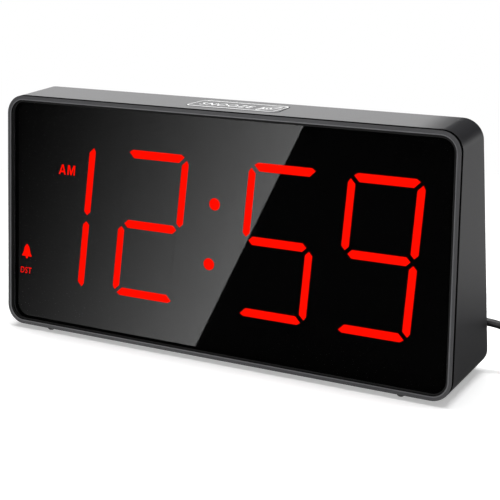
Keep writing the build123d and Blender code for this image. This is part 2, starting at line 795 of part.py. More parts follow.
def rubber_feet():
    belly = (FOOT_STAND - 0.4) * 0.55
    profile = Polyline(
        [
            (0, FOOT_STEM_LENGTH),
            (FOOT_STEM_RADIUS, FOOT_STEM_LENGTH),
            (FOOT_STEM_RADIUS, 0),
            (FOOT_RADIUS, 0),
            (FOOT_RADIUS, -0.4),
        ]
    )
    curve = ThreePointArc(
        (FOOT_RADIUS, -0.4),
        (FOOT_RADIUS - 0.32, -0.4 - belly),
        (FOOT_TIP_RADIUS, -FOOT_STAND),
    )
    bottom = Polyline([(FOOT_TIP_RADIUS, -FOOT_STAND), (0, -FOOT_STAND), (0, FOOT_STEM_LENGTH)])
    face = Plane.XZ.location * make_face(profile + curve + bottom)
    foot = revolve(face, Axis.Z)
    return placed(base_frame, Compound(children=[Pos(x, y, 0) * foot for x, y in foot_places()]))


def case_screws():
    screws = [
        screw(
            SCREW_RADIUS,
            HEAD_RADIUS,
            HEAD_HEIGHT,
            CASE_SCREW_REACH,
            Pos(x, y, -CASE_SCREW_HEAD_DEPTH) * Rot(180, 0, 0),
        )
        for x, y in case_post_places()
    ]
    return placed(face_frame, Compound(children=screws))


# --- keys, switches and boards
def snooze_key():
    cap = rounded_block(
        SNOOZE_LENGTH,
        SNOOZE_DEPTH,
        SNOOZE_CORNER - KEY_GAP,
        -WALL - KEY_PLAY,
        SNOOZE_PROUD,
        SNOOZE_X,
        SNOOZE_FROM_FACE,
    )
    cap = fillet(cap.edges().group_by(Axis.Z)[-1], 0.3)
    lip_top = -WALL - KEY_PLAY
    lip = rounded_block(
        SNOOZE_LENGTH + 2 * KEY_LIP,
        SNOOZE_DEPTH + 2 * KEY_LIP,
        SNOOZE_CORNER,
        lip_top - KEY_LIP_THICKNESS,
        lip_top,
        SNOOZE_X,
        SNOOZE_FROM_FACE,
    )
    stem_end = -SNOOZE_BOARD_BELOW + SWITCH_HEIGHT + PLUNGER_HEIGHT + SWITCH_CLEAR + SNOOZE_TRAVEL
    stem = disc(SNOOZE_STEM_RADIUS, stem_end, lip_top, SNOOZE_X, SNOOZE_FROM_FACE)
    return placed(top_frame, cap + lip + stem)


def rear_key(x):
    cap = disc(KEY_RADIUS, -WALL - KEY_PLAY, KEY_PROUD, -x, KEY_ROW_HEIGHT)
    cap = fillet(cap.edges().group_by(Axis.Z)[-1], KEY_CROWN)
    lip_top = -WALL - KEY_PLAY
    lip = disc(KEY_RADIUS + KEY_LIP, lip_top - KEY_LIP_THICKNESS, lip_top, -x, KEY_ROW_HEIGHT)
    stem_end = -CONTROL_BOARD_BELOW + SWITCH_HEIGHT + PLUNGER_HEIGHT + SWITCH_CLEAR + KEY_TRAVEL
    stem = disc(KEY_STEM_RADIUS, stem_end, lip_top, -x, KEY_ROW_HEIGHT)
    return placed(back_frame, cap + lip + stem)


def tact_switch(x, y, base):
    body = block(SWITCH_SIDE, SWITCH_SIDE, base, base + SWITCH_HEIGHT, x, y)
    top = base + SWITCH_HEIGHT
    return body + disc(PLUNGER_RADIUS, top, top + PLUNGER_HEIGHT, x, y)


def key_switches():
    shapes = [tact_switch(-x, KEY_ROW_HEIGHT, -CONTROL_BOARD_BELOW) for _, x in key_places()]
    return placed(back_frame, Compound(children=shapes))


def control_board():
    low = -CONTROL_BOARD_BELOW - BOARD_THICKNESS
    middle = (CONTROL_BOARD_TOP + CONTROL_BOARD_BOTTOM) / 2
    height = CONTROL_BOARD_TOP - CONTROL_BOARD_BOTTOM
    board = block(CONTROL_BOARD_WIDTH, height, low, -CONTROL_BOARD_BELOW, 0, middle)
    for x, y in control_post_places():
        board -= disc(SMALL_SCREW_RADIUS + SCREW_CLEARANCE, low - 1, 1 - CONTROL_BOARD_BELOW, -x, y)
    slot = 2 * math.sqrt(max(DIMMER_RADIUS**2 - (CONTROL_BOARD_BELOW - dimmer_axis_below()) ** 2, 1))
    board -= block(
        DIMMER_THICKNESS + 2 * SLOT_GAP,
        slot + 2 * SLOT_GAP,
        low - 1,
        1 - CONTROL_BOARD_BELOW,
        -DIMMER_X,
        KEY_ROW_HEIGHT,
    )
    return placed(back_frame, board)


def control_board_screws():
    seat = CONTROL_BOARD_BELOW + BOARD_THICKNESS
    screws = [
        screw(
            SMALL_SCREW_RADIUS,
            SMALL_HEAD_RADIUS,
            SMALL_HEAD_HEIGHT,
            SMALL_SCREW_REACH,
            Pos(-x, y, -seat) * Rot(180, 0, 0),
        )
        for x, y in control_post_places()
    ]
    return placed(back_frame, Compound(children=screws))


def clock_chip():
    top = -CONTROL_BOARD_BELOW - BOARD_THICKNESS
    return placed(back_frame, block(18, 7.5, top - 2.2, top, 10, CONTROL_BOARD_TOP - 8))


def quartz_crystal():
    top = -CONTROL_BOARD_BELOW - BOARD_THICKNESS
    return placed(back_frame, rounded_block(8, 3, 1.4, top - 2.6, top, -14, CONTROL_BOARD_TOP - 8))


def snooze_switch():
    return placed(top_frame, tact_switch(SNOOZE_X, SNOOZE_FROM_FACE, -SNOOZE_BOARD_BELOW))


def snooze_board():
    low = -SNOOZE_BOARD_BELOW - BOARD_THICKNESS
    board = block(
        SNOOZE_BOARD_LENGTH,
        SNOOZE_BOARD_DEPTH,
        low,
        -SNOOZE_BOARD_BELOW,
        SNOOZE_X,
        SNOOZE_FROM_FACE,
    )
    for x, y in snooze_post_places():
        board -= disc(SMALL_SCREW_RADIUS + SCREW_CLEARANCE, low - 1, 1 - SNOOZE_BOARD_BELOW, x, y)
    return placed(top_frame, board)


def snooze_board_screws():
    seat = SNOOZE_BOARD_BELOW + BOARD_THICKNESS
    screws = [
        screw(
            SMALL_SCREW_RADIUS,
            SMALL_HEAD_RADIUS,
            SMALL_HEAD_HEIGHT,
            SMALL_SCREW_REACH,
            Pos(x, y, -seat) * Rot(180, 0, 0),
        )
        for x, y in snooze_post_places()
    ]
    return placed(top_frame, Compound(children=screws))


ALARM_BODY_TOP = -WALL - 1.2


def alarm_switch_body():
    """The slide switch's case on the board, open at the top where its knob runs."""
    length = ALARM_KNOB_LENGTH + ALARM_SWITCH_TRAVEL + 4
    width = ALARM_KNOB_WIDTH + 3
    body = block(length, width, -CONTROL_BOARD_BELOW, ALARM_BODY_TOP, -ALARM_SWITCH_X, KEY_ROW_HEIGHT)
    track = block(
        ALARM_KNOB_LENGTH + ALARM_SWITCH_TRAVEL + 2 * SLOT_GAP,
        ALARM_KNOB_WIDTH + 2 * SLOT_GAP,
        -CONTROL_BOARD_BELOW + 1,
        0,
        -ALARM_SWITCH_X,
        KEY_ROW_HEIGHT,
    )
    return placed(back_frame, body - track)


def alarm_switch_knob():
    """At rest in the off position, to the left seen from behind."""
    x = -ALARM_SWITCH_X - ALARM_SWITCH_TRAVEL / 2
    knob = block(
        ALARM_KNOB_LENGTH,
        ALARM_KNOB_WIDTH,
        -CONTROL_BOARD_BELOW + 1 + SLOT_GAP,
        ALARM_KNOB_PROUD,
        x,
        KEY_ROW_HEIGHT,
    )
    knob = fillet(knob.edges().group_by(Axis.Z)[-1], 0.35)
    for step in (-1.2, 0, 1.2):
        knob -= block(0.5, ALARM_KNOB_WIDTH, ALARM_KNOB_PROUD - 0.4, 3, x + step, KEY_ROW_HEIGHT)
    return placed(back_frame, knob)


def lying(shape):
    """A shape made along Z, turned to lie along the case's width."""
    return Rot(0, 90, 0) * shape


def dimmer_wheel():
    half = DIMMER_THICKNESS / 2
    wheel = disc(DIMMER_RADIUS, -half, half)
    wheel = chamfer(wheel.edges().group_by(Axis.Z)[0] + wheel.edges().group_by(Axis.Z)[-1], 0.4)
    for i in range(DIMMER_RIBS):
        angle = 360 * i / DIMMER_RIBS
        wheel -= Rot(0, 0, angle) * disc(0.4, -half - 1, half + 1, DIMMER_RADIUS + 0.05, 0)
    wheel -= disc(DIMMER_SPINDLE_RADIUS + DIMMER_SPINDLE_FIT, -half - 1, half + 1)
    spot = Pos(-DIMMER_X, KEY_ROW_HEIGHT, -dimmer_axis_below())
    return placed(back_frame, spot * lying(wheel))


def dimmer_control():
    """The potentiometer on the board, with the spindle that the wheel turns on."""
    half = DIMMER_THICKNESS / 2
    near = half + SLOT_GAP
    width = 3.4
    foot = CONTROL_BOARD_BELOW - dimmer_axis_below()
    side = 4.5
    body = Pos(0, 0, near + width / 2) * Box(2 * side, 2 * side, width)
    body &= Pos(0, 0, near + width / 2) * Box(2 * foot, FAR, FAR)
    spindle = disc(DIMMER_SPINDLE_RADIUS, -half - 0.6, near)
    spot = Pos(-DIMMER_X, KEY_ROW_HEIGHT, -dimmer_axis_below())
    return placed(back_frame, spot * lying(body + spindle))


# --- backup battery
def battery_door():
    half_length, half_height, _ = battery_room()
    length = 2 * (half_length + DOOR_REST - DOOR_GAP)
    height = 2 * (half_height + DOOR_REST - DOOR_GAP)
    door = rounded_block(
        length, height, DOOR_CORNER, -DOOR_THICKNESS, 0, -BATTERY_X, BATTERY_HEIGHT
    )
    line_y, line_z = hinge_line()
    door -= block(length + 2, FAR, -FAR, FAR, -BATTERY_X, line_y - FAR / 2)
    door += Pos(-BATTERY_X, line_y, line_z) * lying(Cylinder(DOOR_BARREL_RADIUS, length))
    pins = Cylinder(DOOR_PIN_RADIUS, length + 2 * (DOOR_GAP + DOOR_PIN_REACH))
    door += Pos(-BATTERY_X, line_y, line_z) * lying(pins)
    notch_y = BATTERY_HEIGHT + height / 2
    notch = Pos(-BATTERY_X, notch_y, 0.2) * Rot(0, 90, 0) * Cylinder(1.1, 12)
    door -= notch
    for step in range(5):
        y = BATTERY_HEIGHT + height / 2 - 3.6 - 1.3 * step
        door -= block(14 - 2 * step, 0.5, -0.35, 1, -BATTERY_X, y)
    return placed(back_frame, door)


def backup_cell(index):
    """One cell of the pair; they lie head to tail."""
    body = disc(CELL_RADIUS, -CELL_LENGTH / 2, CELL_LENGTH / 2)
    body = fillet(body.edges(), 0.5)
    cap = disc(CELL_CAP_RADIUS, CELL_LENGTH / 2, CELL_LENGTH / 2 + CELL_CAP_LENGTH)
    turn = Rot(0, 0, 180 * index)
    spot = Pos(-BATTERY_X, cell_heights()[index], -cell_axis_below())
    return placed(back_frame, spot * turn * lying(body + cap))


def battery_contacts():
    """A plate that bridges the two cells at one end, and one with a tail for each at the other."""
    half_length, _, _ = battery_room()
    below = cell_axis_below()
    bridge_x = -BATTERY_X - half_length + CONTACT_THICKNESS / 2
    tail_x = -BATTERY_X + half_length - CONTACT_THICKNESS / 2
    low, high = cell_heights()
    bridge = Pos(bridge_x, (low + high) / 2, -below) * Box(
        CONTACT_THICKNESS, high - low + CONTACT_WIDTH, CONTACT_HEIGHT
    )
    tail = CONTACT_THICKNESS + TRAY_WALL + CONTACT_TAIL
    parts = []
    for index, y in enumerate((low, high)):
        plate = Pos(tail_x, y, -below) * Box(CONTACT_THICKNESS, CONTACT_WIDTH, CONTACT_HEIGHT)
        plate += Pos(tail_x + tail / 2 - CONTACT_THICKNESS / 2, y, -below) * Box(
            tail, CONTACT_TAIL_WIDTH, CONTACT_THICKNESS
        )
        for end in (-1, 1):
            capped = (end == 1) == (index == 0)
            reach = CELL_LENGTH / 2 + (CELL_CAP_LENGTH if capped else 0)
            gap = half_length - CONTACT_THICKNESS - reach - 0.05
            radius = 1.5 if capped else 2.6
            nub = Pos(0, 0, gap / 2) * Cone(radius, radius * 0.7, gap)
            start = -BATTERY_X + end * (half_length - CONTACT_THICKNESS)
            nub = Pos(start, y, -below) * Rot(0, -90 * end, 0) * nub
            if end == 1:
                plate += nub
            else:
                bridge += nub
        parts.append(plate)
    return placed(back_frame, Compound(children=[bridge, *parts]))


# --- sounder
def speaker_frame():
    top = -speaker_seat()
    basket = ring(SPEAKER_RADIUS, SPEAKER_RADIUS - SPEAKER_RIM, top - 1.2, top)
    wall = Cone(MAGNET_RADIUS + 1, SPEAKER_RADIUS - 0.6, SPEAKER_DEPTH - 1.2)
    core = Cone(MAGNET_RADIUS - 0.4, SPEAKER_RADIUS - 2.0, SPEAKER_DEPTH - 1.2)
    mid = top - 1.2 - (SPEAKER_DEPTH - 1.2) / 2
    shell = Pos(0, 0, mid) * wall - Pos(0, 0, mid + 0.8) * core
    shell -= disc(MAGNET_RADIUS * 0.45, top - SPEAKER_DEPTH - 1, top - SPEAKER_DEPTH + 2)
    spot = Pos(-SPEAKER_X, SPEAKER_HEIGHT, 0)
    return placed(back_frame, spot * (basket + shell))


def speaker_cone():
    top = -speaker_seat()
    outer = Cone(3.0, SPEAKER_RADIUS - SPEAKER_RIM - 0.1, 1.9)
    inner = Cone(2.4, SPEAKER_RADIUS - SPEAKER_RIM - 0.9, 1.9)
    sheet = Pos(0, 0, top - 0.95) * outer - Pos(0, 0, top - 0.55) * inner
    spot = Pos(-SPEAKER_X, SPEAKER_HEIGHT, 0)
    return placed(back_frame, spot * (sheet + disc(3.4, top - 1.9, top - 1.2)))


def speaker_magnet():
    top = -speaker_seat() - SPEAKER_DEPTH
    magnet = disc(MAGNET_RADIUS, top - MAGNET_DEPTH, top, -SPEAKER_X, SPEAKER_HEIGHT)
    return placed(back_frame, fillet(magnet.edges().group_by(Axis.Z)[0], 0.4))


# --- power inlet and plug
def dc_jack():
    bush = disc(JACK_BUSH_RADIUS, -WALL, 0)
    body = block(JACK_BODY_SIDE, JACK_BODY_SIDE, -JACK_DEPTH, -WALL)
    bore = disc(JACK_BORE_RADIUS, -JACK_BORE_DEPTH, 1)
    return placed(back_frame, Pos(-JACK_X, JACK_HEIGHT, 0) * (bush + body - bore))


def dc_jack_pin():
    pin = disc(JACK_PIN_RADIUS, -JACK_BORE_DEPTH, -1.4)
    pin = fillet(pin.edges().group_by(Axis.Z)[-1], JACK_PIN_RADIUS * 0.6)
    return placed(back_frame, Pos(-JACK_X, JACK_HEIGHT, 0) * pin)


def plug_barrel():
    tip = PLUG_GAP - PLUG_BARREL_LENGTH
    barrel = ring(PLUG_BARREL_RADIUS, PLUG_BARREL_BORE, tip, PLUG_GAP)
    return placed(back_frame, Pos(-JACK_X, JACK_HEIGHT, 0) * barrel)


def lead_exit():
    """Where the lead's axis leaves the plug's body, as a point and the plug's centre."""
    out = PLUG_GAP + PLUG_BODY[2] / 2
    return back_frame.from_local_coords((-JACK_X, JACK_HEIGHT, out))


def plug_body():
    length, height, out = PLUG_BODY
    body = Box(length, out, height)
    body = fillet(body.edges(), 1.6)
    centre = lead_exit()
    turned = Pos(*centre) * Rot(math.degrees(back_lean), 0, 0) * body
    return turned


def plug_relief():
    """The tapered sleeve between the plug and the lead."""
    radius = LEAD_DIAMETER / 2
    sleeve = Cone(RELIEF_BASE_RADIUS, radius + 0.25, RELIEF_LENGTH)
    for i in range(RELIEF_GROOVES):
        start = -RELIEF_LENGTH / 2 + RELIEF_PITCH * i + 2.0
        sleeve -= ring(4, radius + 0.3, start, start + RELIEF_GROOVE_WIDTH)
    sleeve = Rot(0, 90, 0) * sleeve
    _, y, z = lead_exit()
    start = JACK_X + PLUG_BODY[0] / 2
    return Pos(start + RELIEF_LENGTH / 2, y, z) * sleeve


# --- the lead
def corner_radii(points):
    """The largest arc that each corner's two runs leave room for."""
    radii = []
    for before, here, after in zip(points, points[1:], points[2:]):
        run_in = Vector(*here) - Vector(*before)
        run_out = Vector(*after) - Vector(*here)
        half_turn = math.radians(run_in.get_angle(run_out)) / 2
        radii.append(0.45 * min(run_in.length, run_out.length) / math.tan(half_turn))
    return radii


def tube_along(points, diameter, name):
    radii = corner_radii(points)
    path = FilletPolyline(*points, radius=radii)
    section = Plane(origin=path @ 0, z_dir=path % 0) * Circle(diameter / 2)
    tube = sweep(section, path=path)
    expected = math.pi * diameter**2 / 4 * path.length
    print(f"{name}: length {path.length:.1f}, radii {[round(r, 1) for r in radii]}")
    print(f"{name}: volume {tube.volume:.1f}, section times length {expected:.1f}")
    return tube


def power_lead():
    _, y, z = lead_exit()
    start = [(LEAD_START_X, y, z), (LEAD_START_X + LEAD_LEVEL_RUN, y, z)]
    route = [(COIL_CENTRE[0] + along, back, up) for along, back, up in LEAD_ROUTE]
    return tube_along([*start, *route], LEAD_DIAMETER, "power_lead")


def coil_section():
    """Across and height of the coil's bundle of turns."""
    return COIL_TURNS_ACROSS * LEAD_DIAMETER, COIL_LAYERS * LEAD_DIAMETER


def lead_coil():
    across, height = coil_section()
    low = TIE_THICKNESS + TIE_GAP
    cx, cy = COIL_CENTRE
    outer, inner = COIL_TURN_RADIUS + across / 2, COIL_TURN_RADIUS - across / 2
    coil = ring(outer, inner, low, low + height, cx, cy)
    return fillet(coil.edges(), LEAD_DIAMETER * 0.45)


def coil_tie():
    """A strip wrapped once round the bundle of turns, on the side away from the clock."""
    across, height = coil_section()
    cx, cy = COIL_CENTRE
    inner_x, inner_z = across + 2 * TIE_GAP, height + 2 * TIE_GAP
    outer = Box(inner_x + 2 * TIE_THICKNESS, TIE_WIDTH, inner_z + 2 * TIE_THICKNESS)
    outer = fillet(outer.edges().filter_by(Axis.Y), 1.0)
    strip = outer - Box(inner_x, 2 * TIE_WIDTH, inner_z)
    return Pos(cx + COIL_TURN_RADIUS, cy, inner_z / 2 + TIE_THICKNESS) * strip


def adapter_entry():
    """Where the lead enters the adapter: level with the coil's top layer, over its far side."""
    _, height = coil_section()
    across, _ = coil_section()
    z = TIE_THICKNESS + TIE_GAP + height - LEAD_DIAMETER / 2
    y = COIL_CENTRE[1] + COIL_TURN_RADIUS + across / 2 - LEAD_DIAMETER / 2
    return ADAPTER_START_X, y, z


def adapter_body():
    length, width, height = ADAPTER_BODY
    x, y, _ = adapter_entry()
    body = Pos(x + length / 2, y, height / 2) * Box(length, width, height)
    body = fillet(body.edges(), ADAPTER_EDGE)
    return body


def adapter_relief():
    x, y, z = adapter_entry()
    radius = LEAD_DIAMETER / 2
    sleeve = Cone(radius + 0.25, RELIEF_BASE_RADIUS, ADAPTER_RELIEF_LENGTH)
    return Pos(x - ADAPTER_RELIEF_LENGTH / 2, y, z) * Rot(0, 90, 0) * sleeve


def lead_end():
    """The last stretch, from the coil to the adapter."""
    x, y, z = adapter_entry()
    stop = x - ADAPTER_RELIEF_LENGTH
    start = COIL_CENTRE[0] + 4
    tube = Rot(0, 90, 0) * Cylinder(LEAD_DIAMETER / 2, stop - start)
    return Pos((start + stop) / 2, y, z) * tube


def adapter_blades():
    length, width, height = ADAPTER_BODY
    x, y, _ = adapter_entry()
    blades = []
    for side in (-1, 1):
        blade = Box(BLADE_THICKNESS, BLADE_LENGTH, BLADE_WIDTH)
        blade = chamfer(blade.edges().group_by(Axis.Y)[0], 0.5)
        hole = Pos(0, -BLADE_LENGTH / 2 + 3.2, 0) * Rot(0, 90, 0) * Cylinder(1.6, 4)
        spot = Pos(
            x + length * 0.62 + side * BLADE_PITCH / 2,
            y - width / 2 - BLADE_LENGTH / 2,
            height / 2,
        )
        blades.append(spot * (blade - hole))
    return Compound(children=blades)


def ribbon_cable():
    """The flat cable between the display's board and the control board, hanging in a shallow loop."""
    on_display = face_frame.from_local_coords((0, CONTROL_BOARD_BOTTOM - 6, -BOARD_FRONT - BOARD_THICKNESS))
    on_control = back_frame.from_local_coords(
        (0, CONTROL_BOARD_BOTTOM + 4, -CONTROL_BOARD_BELOW - BOARD_THICKNESS)
    )
    front, back = on_display.Y, on_control.Y
    sag = min(on_display.Z, on_control.Z) - RIBBON_SAG
    lean_in = RIBBON_THICKNESS + 1.0
    side = [
        (front, on_display.Z),
        (front + 1.0, sag),
        (back - 1.0, sag),
        (back, on_control.Z),
        (back - RIBBON_THICKNESS, on_control.Z),
        (back - lean_in, sag + RIBBON_THICKNESS),
        (front + lean_in, sag + RIBBON_THICKNESS),
        (front + RIBBON_THICKNESS, on_display.Z),
    ]
    start = RIBBON_X - RIBBON_WIDTH / 2
    face = make_face(Polyline([(start, y, z) for y, z in side], close=True))
    return extrude(face, amount=RIBBON_WIDTH, dir=(1, 0, 0))


def wire_pair(points):
    """Two wires side by side along one route in the back's frame."""
    pair = []
    for side in (-1, 1):
        route = [(x + side * (WIRE_RADIUS + 0.05), y, z) for x, y, z in points]
        path = FilletPolyline(*route, radius=WIRE_BEND)
        section = Plane(origin=path @ 0, z_dir=path % 0) * Circle(WIRE_RADIUS)
        pair.append(sweep(section, path=path))
    return pair


def hook_up_wires():
    """Pairs of wires to the control board, from the speaker, the cells and the inlet."""
    half_length, _, _ = battery_room()
    on_board = -CONTROL_BOARD_BELOW - BOARD_THICKNESS - WIRE_RADIUS
    behind = on_board - 4.0
    low_edge = CONTROL_BOARD_BOTTOM + 2.5
    speaker_top = SPEAKER_HEIGHT + SPEAKER_RADIUS - 3.5
    speaker_back = -speaker_seat() - 4.2
    tail_x = -BATTERY_X + half_length + TRAY_WALL + CONTACT_TAIL
    jack_x = -JACK_X + 6.0
    routes = [
        [
            (-SPEAKER_X + 9, speaker_top - 1, speaker_back),
            (-SPEAKER_X + 9, speaker_top + 5, speaker_back),
            (-SPEAKER_X + 9, low_edge - 6, behind),
            (-SPEAKER_X + 9, low_edge, on_board),
            (-SPEAKER_X + 9, low_edge + 4, on_board),
        ],
        [
            (tail_x + 1.35, BATTERY_HEIGHT - 4, -cell_axis_below()),
            (tail_x + 1.35, BATTERY_HEIGHT + 12, -cell_axis_below()),
            (tail_x + 1.35, low_edge - 6, behind),
            (tail_x + 1.35, low_edge, on_board),
            (tail_x + 1.35, low_edge + 4, on_board),
        ],
        [
            (jack_x, JACK_HEIGHT, -JACK_DEPTH + 2),
            (jack_x, JACK_HEIGHT + 10, -JACK_DEPTH + 2),
            (jack_x + 4, low_edge - 10, behind),
            (jack_x + 12, low_edge, on_board),
            (jack_x + 12, low_edge + 4, on_board),
        ],
    ]
    wires = [wire for route in routes for wire in wire_pair(route)]
    return placed(back_frame, Compound(children=wires))


# --- write every piece
PIECES = {
    "front_bezel": front_bezel,
    "display_lens": display_lens,
    "segment_mask": segment_mask,
    "display_block": display_block,
    "unlit_segments": unlit_segments,
    "colon_dots": colon_dots,
    "indicator_windows": indicator_windows,
    "light_chips": light_chips,
    "display_board": display_board,
    "display_board_screws": display_board_screws,
    "rear_case": rear_case,
    "rubber_feet": rubber_feet,
    "case_screws": case_screws,
    "snooze_key": snooze_key,
    "snooze_switch": snooze_switch,
    "snooze_board": snooze_board,
    "snooze_board_screws": snooze_board_screws,
    "control_board": control_board,
    "control_board_screws": control_board_screws,
    "key_switches": key_switches,
    "clock_chip": clock_chip,
    "quartz_crystal": quartz_crystal,
    "alarm_switch_body": alarm_switch_body,
    "alarm_switch_knob": alarm_switch_knob,
    "dimmer_wheel": dimmer_wheel,
    "dimmer_control": dimmer_control,
    "battery_door": battery_door,
    "battery_contacts": battery_contacts,
    "speaker_frame": speaker_frame,
    "speaker_cone": speaker_cone,
    "speaker_magnet": speaker_magnet,
    "ribbon_cable": ribbon_cable,
    "hook_up_wires": hook_up_wires,
    "dc_jack": dc_jack,
    "dc_jack_pin": dc_jack_pin,
    "plug_barrel": plug_barrel,
    "plug_body": plug_body,
    "plug_relief": plug_relief,
    "power_lead": power_lead,
    "lead_coil": lead_coil,
    "coil_tie": coil_tie,
    "lead_end": lead_end,
    "adapter_relief": adapter_relief,
    "adapter_body": adapter_body,
    "adapter_blades": adapter_blades,
}


def main():
    os.makedirs("parts", exist_ok=True)
    for name, make in PIECES.items():
        export_step(make(), f"parts/{name}.step")
    for digit, names in enumerate(LIT_SEGMENTS):
        export_step(segments_of(digit, names), f"parts/digit_{digit + 1}_segments.step")
    for name, x in key_places():
        export_step(rear_key(x), f"parts/{name}_key.step")
    for index in (0, 1):
        export_step(backup_cell(index), f"parts/backup_cell_{index + 1}.step")
    hinge = back_frame.from_local_coords((-BATTERY_X, *hinge_line()))
    wheel = back_frame.from_local_coords((-DIMMER_X, KEY_ROW_HEIGHT, -dimmer_axis_below()))
    print("battery door hinge", [round(v, 3) for v in hinge])
    print("dimmer axis", [round(v, 3) for v in wheel])
    print("lead exit", [round(v, 3) for v in lead_exit()])
    print("back lean", round(math.degrees(back_lean), 4))


main()
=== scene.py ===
import math

import bmesh
import bpy
from mathutils import Matrix, Vector


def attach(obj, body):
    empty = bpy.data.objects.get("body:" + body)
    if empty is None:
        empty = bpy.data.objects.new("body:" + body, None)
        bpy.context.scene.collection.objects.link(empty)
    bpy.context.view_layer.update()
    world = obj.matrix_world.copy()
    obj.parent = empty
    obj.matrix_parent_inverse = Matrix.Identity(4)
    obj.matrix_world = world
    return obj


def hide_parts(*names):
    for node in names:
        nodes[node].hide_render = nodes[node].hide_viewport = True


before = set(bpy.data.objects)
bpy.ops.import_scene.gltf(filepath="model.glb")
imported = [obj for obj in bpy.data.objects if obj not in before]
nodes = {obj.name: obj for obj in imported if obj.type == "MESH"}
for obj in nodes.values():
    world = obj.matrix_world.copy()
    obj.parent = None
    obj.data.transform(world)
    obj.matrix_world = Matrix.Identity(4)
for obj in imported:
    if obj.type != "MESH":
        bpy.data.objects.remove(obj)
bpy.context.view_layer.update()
MM = 0.001

# --- sizes shared with the part's source, in mm
BASE_DEPTH = 49.6
FOOT_STAND = 2.0
FACE_LEAN = math.radians(3.0)
FACE_HEIGHT = 111.2
CASE_WIDTH = 228.0
SIDE_TAPER = 2.3
CORNER_RADIUS = 9.0
BEZEL_WIDTH = 2.2
RIM_DEPTH = 0.7
GROOVE_WIDTH = 1.3
BACK_LEAN = math.radians(8.6052)
LENS_BACK = 2.6
LENS_RECESS = 0.6
LENS_FIT = 0.15
SNOOZE_X = 4.4
SNOOZE_FROM_FACE = 14.0
SNOOZE_PROUD = 0.15
KEY_ROW_HEIGHT = 84.0
KEY_PITCH = 15.0
KEY_WORDS = ("TIME", "ALARM", "HOUR", "MIN", "12/24", "DST")
ALARM_SWITCH_X = 59.0  # these places on the back are as seen from behind
DIMMER_X = -60.0
JACK_X = -92.0
JACK_HEIGHT = 19.6
BATTERY_X = 6.0
BATTERY_HEIGHT = 38.0
LEAD_DIAMETER = 3.5
LEAD_ROUTE = (  # out of the strain relief, down and along the table to the coil
    (110.0, 26.613, 22.098),
    (116.0, 26.613, 22.098),
    (125.6, 26.7, 19.2),
    (133.6, 26.8, 12.4),
    (141.2, 26.9, 6.2),
    (149.4, 26.9, 3.2),
    (157.6, 26.9, 2.65),
)
COIL_CENTRE = (162.0, 4.2)
COIL_TURN_RADIUS = 19.25
COIL_FLOOR = 0.9
ADAPTER_RELIEF_X = 191.0

# --- sizes of the print, the signs and the trim, in mm
INK_LIFT = 0.01  # between a surface and what is printed on it
INK_THICKNESS = 0.02
DIFFUSER_THICKNESS = 0.03
PANE_CLEARANCE = 0.03  # between the window and the film behind it
PANE_CHAMFER = 0.25
SIGN_DEPTH = LENS_BACK + 0.06
SNOOZE_SLANT = 0.21
PRINT_OUTER = (43.3, 13.0, 2.3)  # length, width and corner of the line round the word
PRINT_INNER = (42.3, 11.5, 1.8)
HAND_LINE = 0.6
BORDER = (BEZEL_WIDTH + 0.1, BEZEL_WIDTH + 0.8)  # from the case's edge
# painted highlight: a lighter ring on the bezel's inner edge, between these distances from the case's
# edge
EDGE_HIGHLIGHT_SPAN = (BEZEL_WIDTH - 0.65, BEZEL_WIDTH - 0.22)
LEGEND_HEIGHT = 1.9
CELL_LEGEND_HEIGHT = 2.2
CAPITAL_SHARE = 0.73  # height of the capitals in a font size of one
ARC_STEPS = 8

# --- levels of the materials and the stage, and sizes of the stage in m
WINDOW_TINT = 0.15
FILM_SHEEN = 0.0945  # how bright the sheen is at its edge
FILM_REFLECTANCE = 0.041
FILM_CARD_OUT = 0.25
FILM_CARD_FADE = 0.167
FILM_CARD_POWER = 3.0
FILM_CARD_REACH = (-200, 160, -60, 180)  # across and up the face, in mm
FILM_CARD_EDGE = ((-8.9, 2.9), (42.4, 108.6))
FILM_CARD_LEVEL = FILM_SHEEN / (FILM_REFLECTANCE * (1 - WINDOW_TINT) ** 4)
FLOOR_CARD_MIDDLE = (0.06, 0, 0)
FLOOR_CARD_REACH = 0.4
FLOOR_CARD_STOPS = ((0.0, 0.1), (0.25, 0.11), (0.33, 0.15), (0.44, 0.36), (0.63, 0.49), (1.0, 0.5))
TOP_FLAG = (0.085, -0.03, 0.1, 0.126)  # left, front, back and height
FLOOR_LIFT = 0.33
FLOOR_WHITE_FROM, FLOOR_WHITE_TO = 0.2, 0.45
WORLD_FILL = 0.25

# --- frames of the case's faces: across, up or back, and out of the surface
FACE = Matrix.Translation((0, -BASE_DEPTH / 2, FOOT_STAND)) @ Matrix(
    (
        (1, 0, 0, 0),
        (0, math.sin(FACE_LEAN), -math.cos(FACE_LEAN), 0),
        (0, math.cos(FACE_LEAN), math.sin(FACE_LEAN), 0),
        (0, 0, 0, 1),
    )
)
TOP = (
    Matrix.Translation(
        (
            0,
            -BASE_DEPTH / 2 + FACE_HEIGHT * math.sin(FACE_LEAN),
            FOOT_STAND + FACE_HEIGHT * math.cos(FACE_LEAN),
        )
    )
    @ Matrix.Rotation(FACE_LEAN, 4, "X")
)
BACK = Matrix.Translation((0, BASE_DEPTH / 2, FOOT_STAND)) @ Matrix(
    (
        (-1, 0, 0, 0),
        (0, -math.sin(BACK_LEAN), math.cos(BACK_LEAN), 0),
        (0, math.cos(BACK_LEAN), math.sin(BACK_LEAN), 0),
        (0, 0, 0, 1),
    )
)
FILM_NORMAL = Vector((0, -math.cos(FACE_LEAN), math.sin(FACE_LEAN)))
FILM_POINT = (FACE @ Vector((0, 0, -LENS_BACK))) * MM


